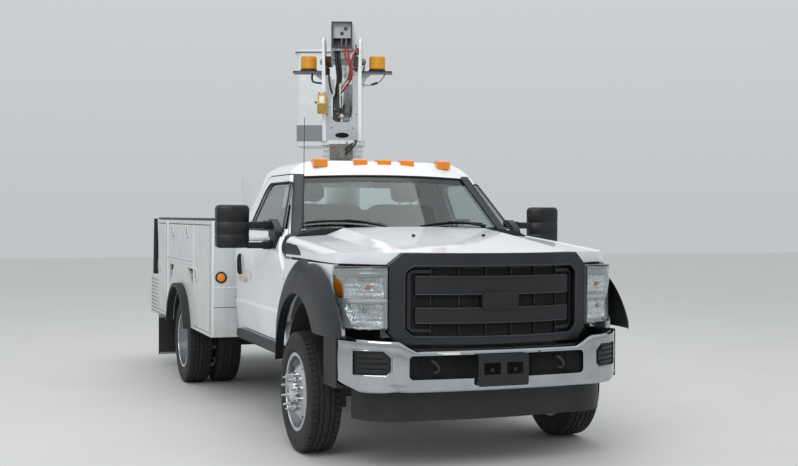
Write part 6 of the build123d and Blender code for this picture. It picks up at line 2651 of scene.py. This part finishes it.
    def build(self) -> None:
        """Make the turret's fittings."""
        # Front plate sheet: the lift enamel with painted shade
        self.front_skin().make("front_plate_skin", "lift_turret", SHADED_LIFT_ENAMEL, "lift_paint")
        # Dark plate in the oval hole: painted shade
        self.hole_inside().make("front_plate_plug", "lift_turret", LINER, "black_plastic")
        # Cheek edges: lighter lift enamel as painted highlight
        self.edges().make("cheek_edges", "lift_turret", (LIT_LIFT_ENAMEL, DULL_STEEL), "lift_paint", bevel=1.0)
        self.bosses().make("pin_collars", "lift_turret", RUSTED, "cast_metal", bevel=1.0)
        self.plates().make("beacon_trays", "lift_turret", DARK_TRAY, "lift_paint", bevel=1.0)
        lenses = self.beacon()
        lenses.join(lenses.mirrored())
        lamps = lenses.make("beacon_lamps", "lift_turret", (BLACK_PLASTIC, BEACON_LENS, REFLECTOR),
                            "lamp_amber")
        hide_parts("beacons")
        self.valve_gear().make("valve_gear", "lift_turret", (OILY_DARK, DULL_STEEL, LOCK_CAP), "cast_metal",
                               bevel=2.0)
        self.gearbox().make("gearbox_cover", "lift_turret", (OILY_CAST, DULL_STEEL), "cast_metal", bevel=1.5)
        self.base_bolts().make("base_bolts", "lift_turret", DULL_STEEL, "cast_metal")
        self.lower_controls().make("lower_control_fittings", "lift_turret",
                                   (MUSTARD, LABEL, KNOB_RED, BLACK_PLASTIC), "yellow_plastic", bevel=0.8)
        plug = Form(LIFT)
        plug.bar((250, -112, 2733), (306, -112, 2750), 9.5, 16)
        plug.bar((272, -112, 2739.5), (282, -112, 2742.5), 11.5, 16)
        plug.make("beacon_connector", "lift_turret", BLACK_PLASTIC, "black_plastic", bevel=1.5)
        self.wiring()
        self.joined_hoses()


@dataclass
class BoomFittings:
    """Butt frame, pipe runs and mouth collar of the boom."""

    half: float = 86.0
    low: float = 3040.0
    high: float = 3258.0
    butt: float = -230.0
    mouth: float = 2450.0

    def butt_frame(self) -> Form:
        """Dark frame round the butt, plate inside in the lift enamel with painted shade, with two fittings,
        and two pale rods.

        Returns:
            The form.
        """
        form = Form(LIFT)
        middle = (self.low + self.high) / 2
        rim = ring((0, middle), round_box(180, 226, 7), round_box(152, 196, 4), "Y",
                   (self.butt + 3, self.butt - 8))
        form.join(rim)
        form.slab((-77, self.butt + 110, 3049), (77, self.butt + 116, 3249))
        # The inner plate: lift enamel with painted shade
        form.mark = 1
        form.slab((-77, self.butt + 46, 3126), (77, self.butt + 52, 3249))
        form.mark = 0
        for x, z in ((30, 3208), (-2, 3168)):
            form.bar((x, self.butt + 47, z), (x, self.butt + 26, z), 16, 8, 13)
        form.mark = 2
        for x in (-6, 34):
            form.bar((x, self.butt + 60, 3050), (x, self.butt + 60, 3128), 8, 12)
        form.slab((-84, self.butt + 2, 3010), (84, self.butt + 60, 3038))
        return form

    def pipes(self) -> Form:
        """Steel pipes and clips along the boom's left side.

        Returns:
            The form.
        """
        form = Form(LIFT)
        for z in (3102, 3126):
            form.tube([(self.half + 10, 210, z), (self.half + 10, self.mouth - 60, z)], 6, 12)
        form.mark = 1
        for k in range(6):
            y = 260 + 410 * k
            form.slab((self.half - 0.5, y, 3090), (self.half + 18, y + 26, 3138))
        return form

    def mouth_collar(self) -> Form:
        """Reinforcing collar, in the lighter lift enamel as painted highlight, and wear pad bolts at the
        boom's mouth.

        Returns:
            The form.
        """
        form = Form(LIFT)
        middle = (self.low + self.high) / 2
        collar = ring((0, middle), round_box(188, 234, 8), round_box(171, 217, 3), "Y",
                      (self.mouth - 96, self.mouth - 4))
        collar.marks = [0] * len(collar.faces)
        form.join(collar)
        form.mark = 1
        for y in (self.mouth - 74, self.mouth - 28):
            for sign in (-1, 1):
                for z in (3100, 3198):
                    form.bolt((sign * 94, y, z), "X", sign, 12, 1.8)
                form.bolt((sign * 46, y, self.high + 8), "Z", 1, 12, 5)
        return form

    def build(self) -> None:
        """Make the boom's fittings."""
        # The plate inside the butt takes the lift enamel with painted shade
        self.butt_frame().make("boom_butt_frame", "main_boom", (OILY_DARK, SHADED_LIFT_ENAMEL, DULL_STEEL),
                               "lift_paint",
                               bevel=1.0)
        self.pipes().make("boom_pipes", "main_boom", (DULL_STEEL, BLACK_PLASTIC), "cast_metal", bevel=1.0)
        # The collar takes the lighter lift enamel as painted highlight
        self.mouth_collar().make("boom_mouth_collar", "main_boom", (LIT_LIFT_ENAMEL, DULL_STEEL), "lift_paint",
                                 bevel=1.0)


@dataclass
class Bucket:
    """Control box, rim edging and tether eye of the bucket."""

    centre: Point = (-391.3, 2900)
    top: float = 3428.0

    def controls(self) -> Form:
        """Box with its lever and two buttons inside the rim.

        Returns:
            The form.
        """
        form = Form(LIFT)
        form.slab((-186, 2800, 3236), (-128, 3000, 3376))
        form.slab((-192, 2794, 3360), (-126, 3006, 3382))
        form.mark = 1
        form.bar((-158, 2900, 3380), (-158, 2896, 3412), 6, 12)
        form.lathe([(3408, 7), (3412, 13), (3420, 14), (3425, 8), (3425.5, 0)], (-158, 2896, 0), "Z", 16)
        form.mark = 2
        for y in (2840, 2962):
            form.bar((-158, y, 3381), (-158, y, 3390), 12, 16)
        return form

    def edging(self) -> Form:
        """Rubber edging under the rolled rim and the tether eye.

        Returns:
            The form.
        """
        form = Form(LIFT)
        x, y = self.centre
        path = [(x + dx, y + dy, 3394) for dx, dy in round_box(588, 588, 68, 6)]
        form.tube([*path, path[0], path[1]], 5.5, 8)
        form.mark = 1
        form.tube([(x + 250, y + 20, 3336), (x + 236, y + 20, 3328), (x + 226, y, 3322),
                   (x + 236, y - 20, 3328),
                   (x + 250, y - 20, 3336)], 6, 10)
        return form

    def build(self) -> None:
        """Make the bucket's fittings."""
        self.controls().make("bucket_controls", "platform", (DULL_STEEL, BLACK_PLASTIC, KNOB_RED),
                             "bucket_white",
                             bevel=3.0)
        self.edging().make("bucket_edging", "platform", (SEAL_RUBBER, ZINC), "rubber")


def main() -> None:
    """Build the dressed truck."""
    logging.basicConfig(level=logging.INFO, format="%(message)s")
    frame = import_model()
    Studio().build()
    Paintwork().build(frame["nodes"])
    for assembly in (Tyres(), Wheels(), Headlamps(), Flares(), FrontTrim(), Bumper(), Screen(),
                     DoorFittings(), Interior(),
                     UtilityBody(), LiftTurret(), BoomFittings(), Bucket()):
        assembly.build()
        LOG.info("built %s", type(assembly).__name__)


if __name__ == "__main__":
    main()
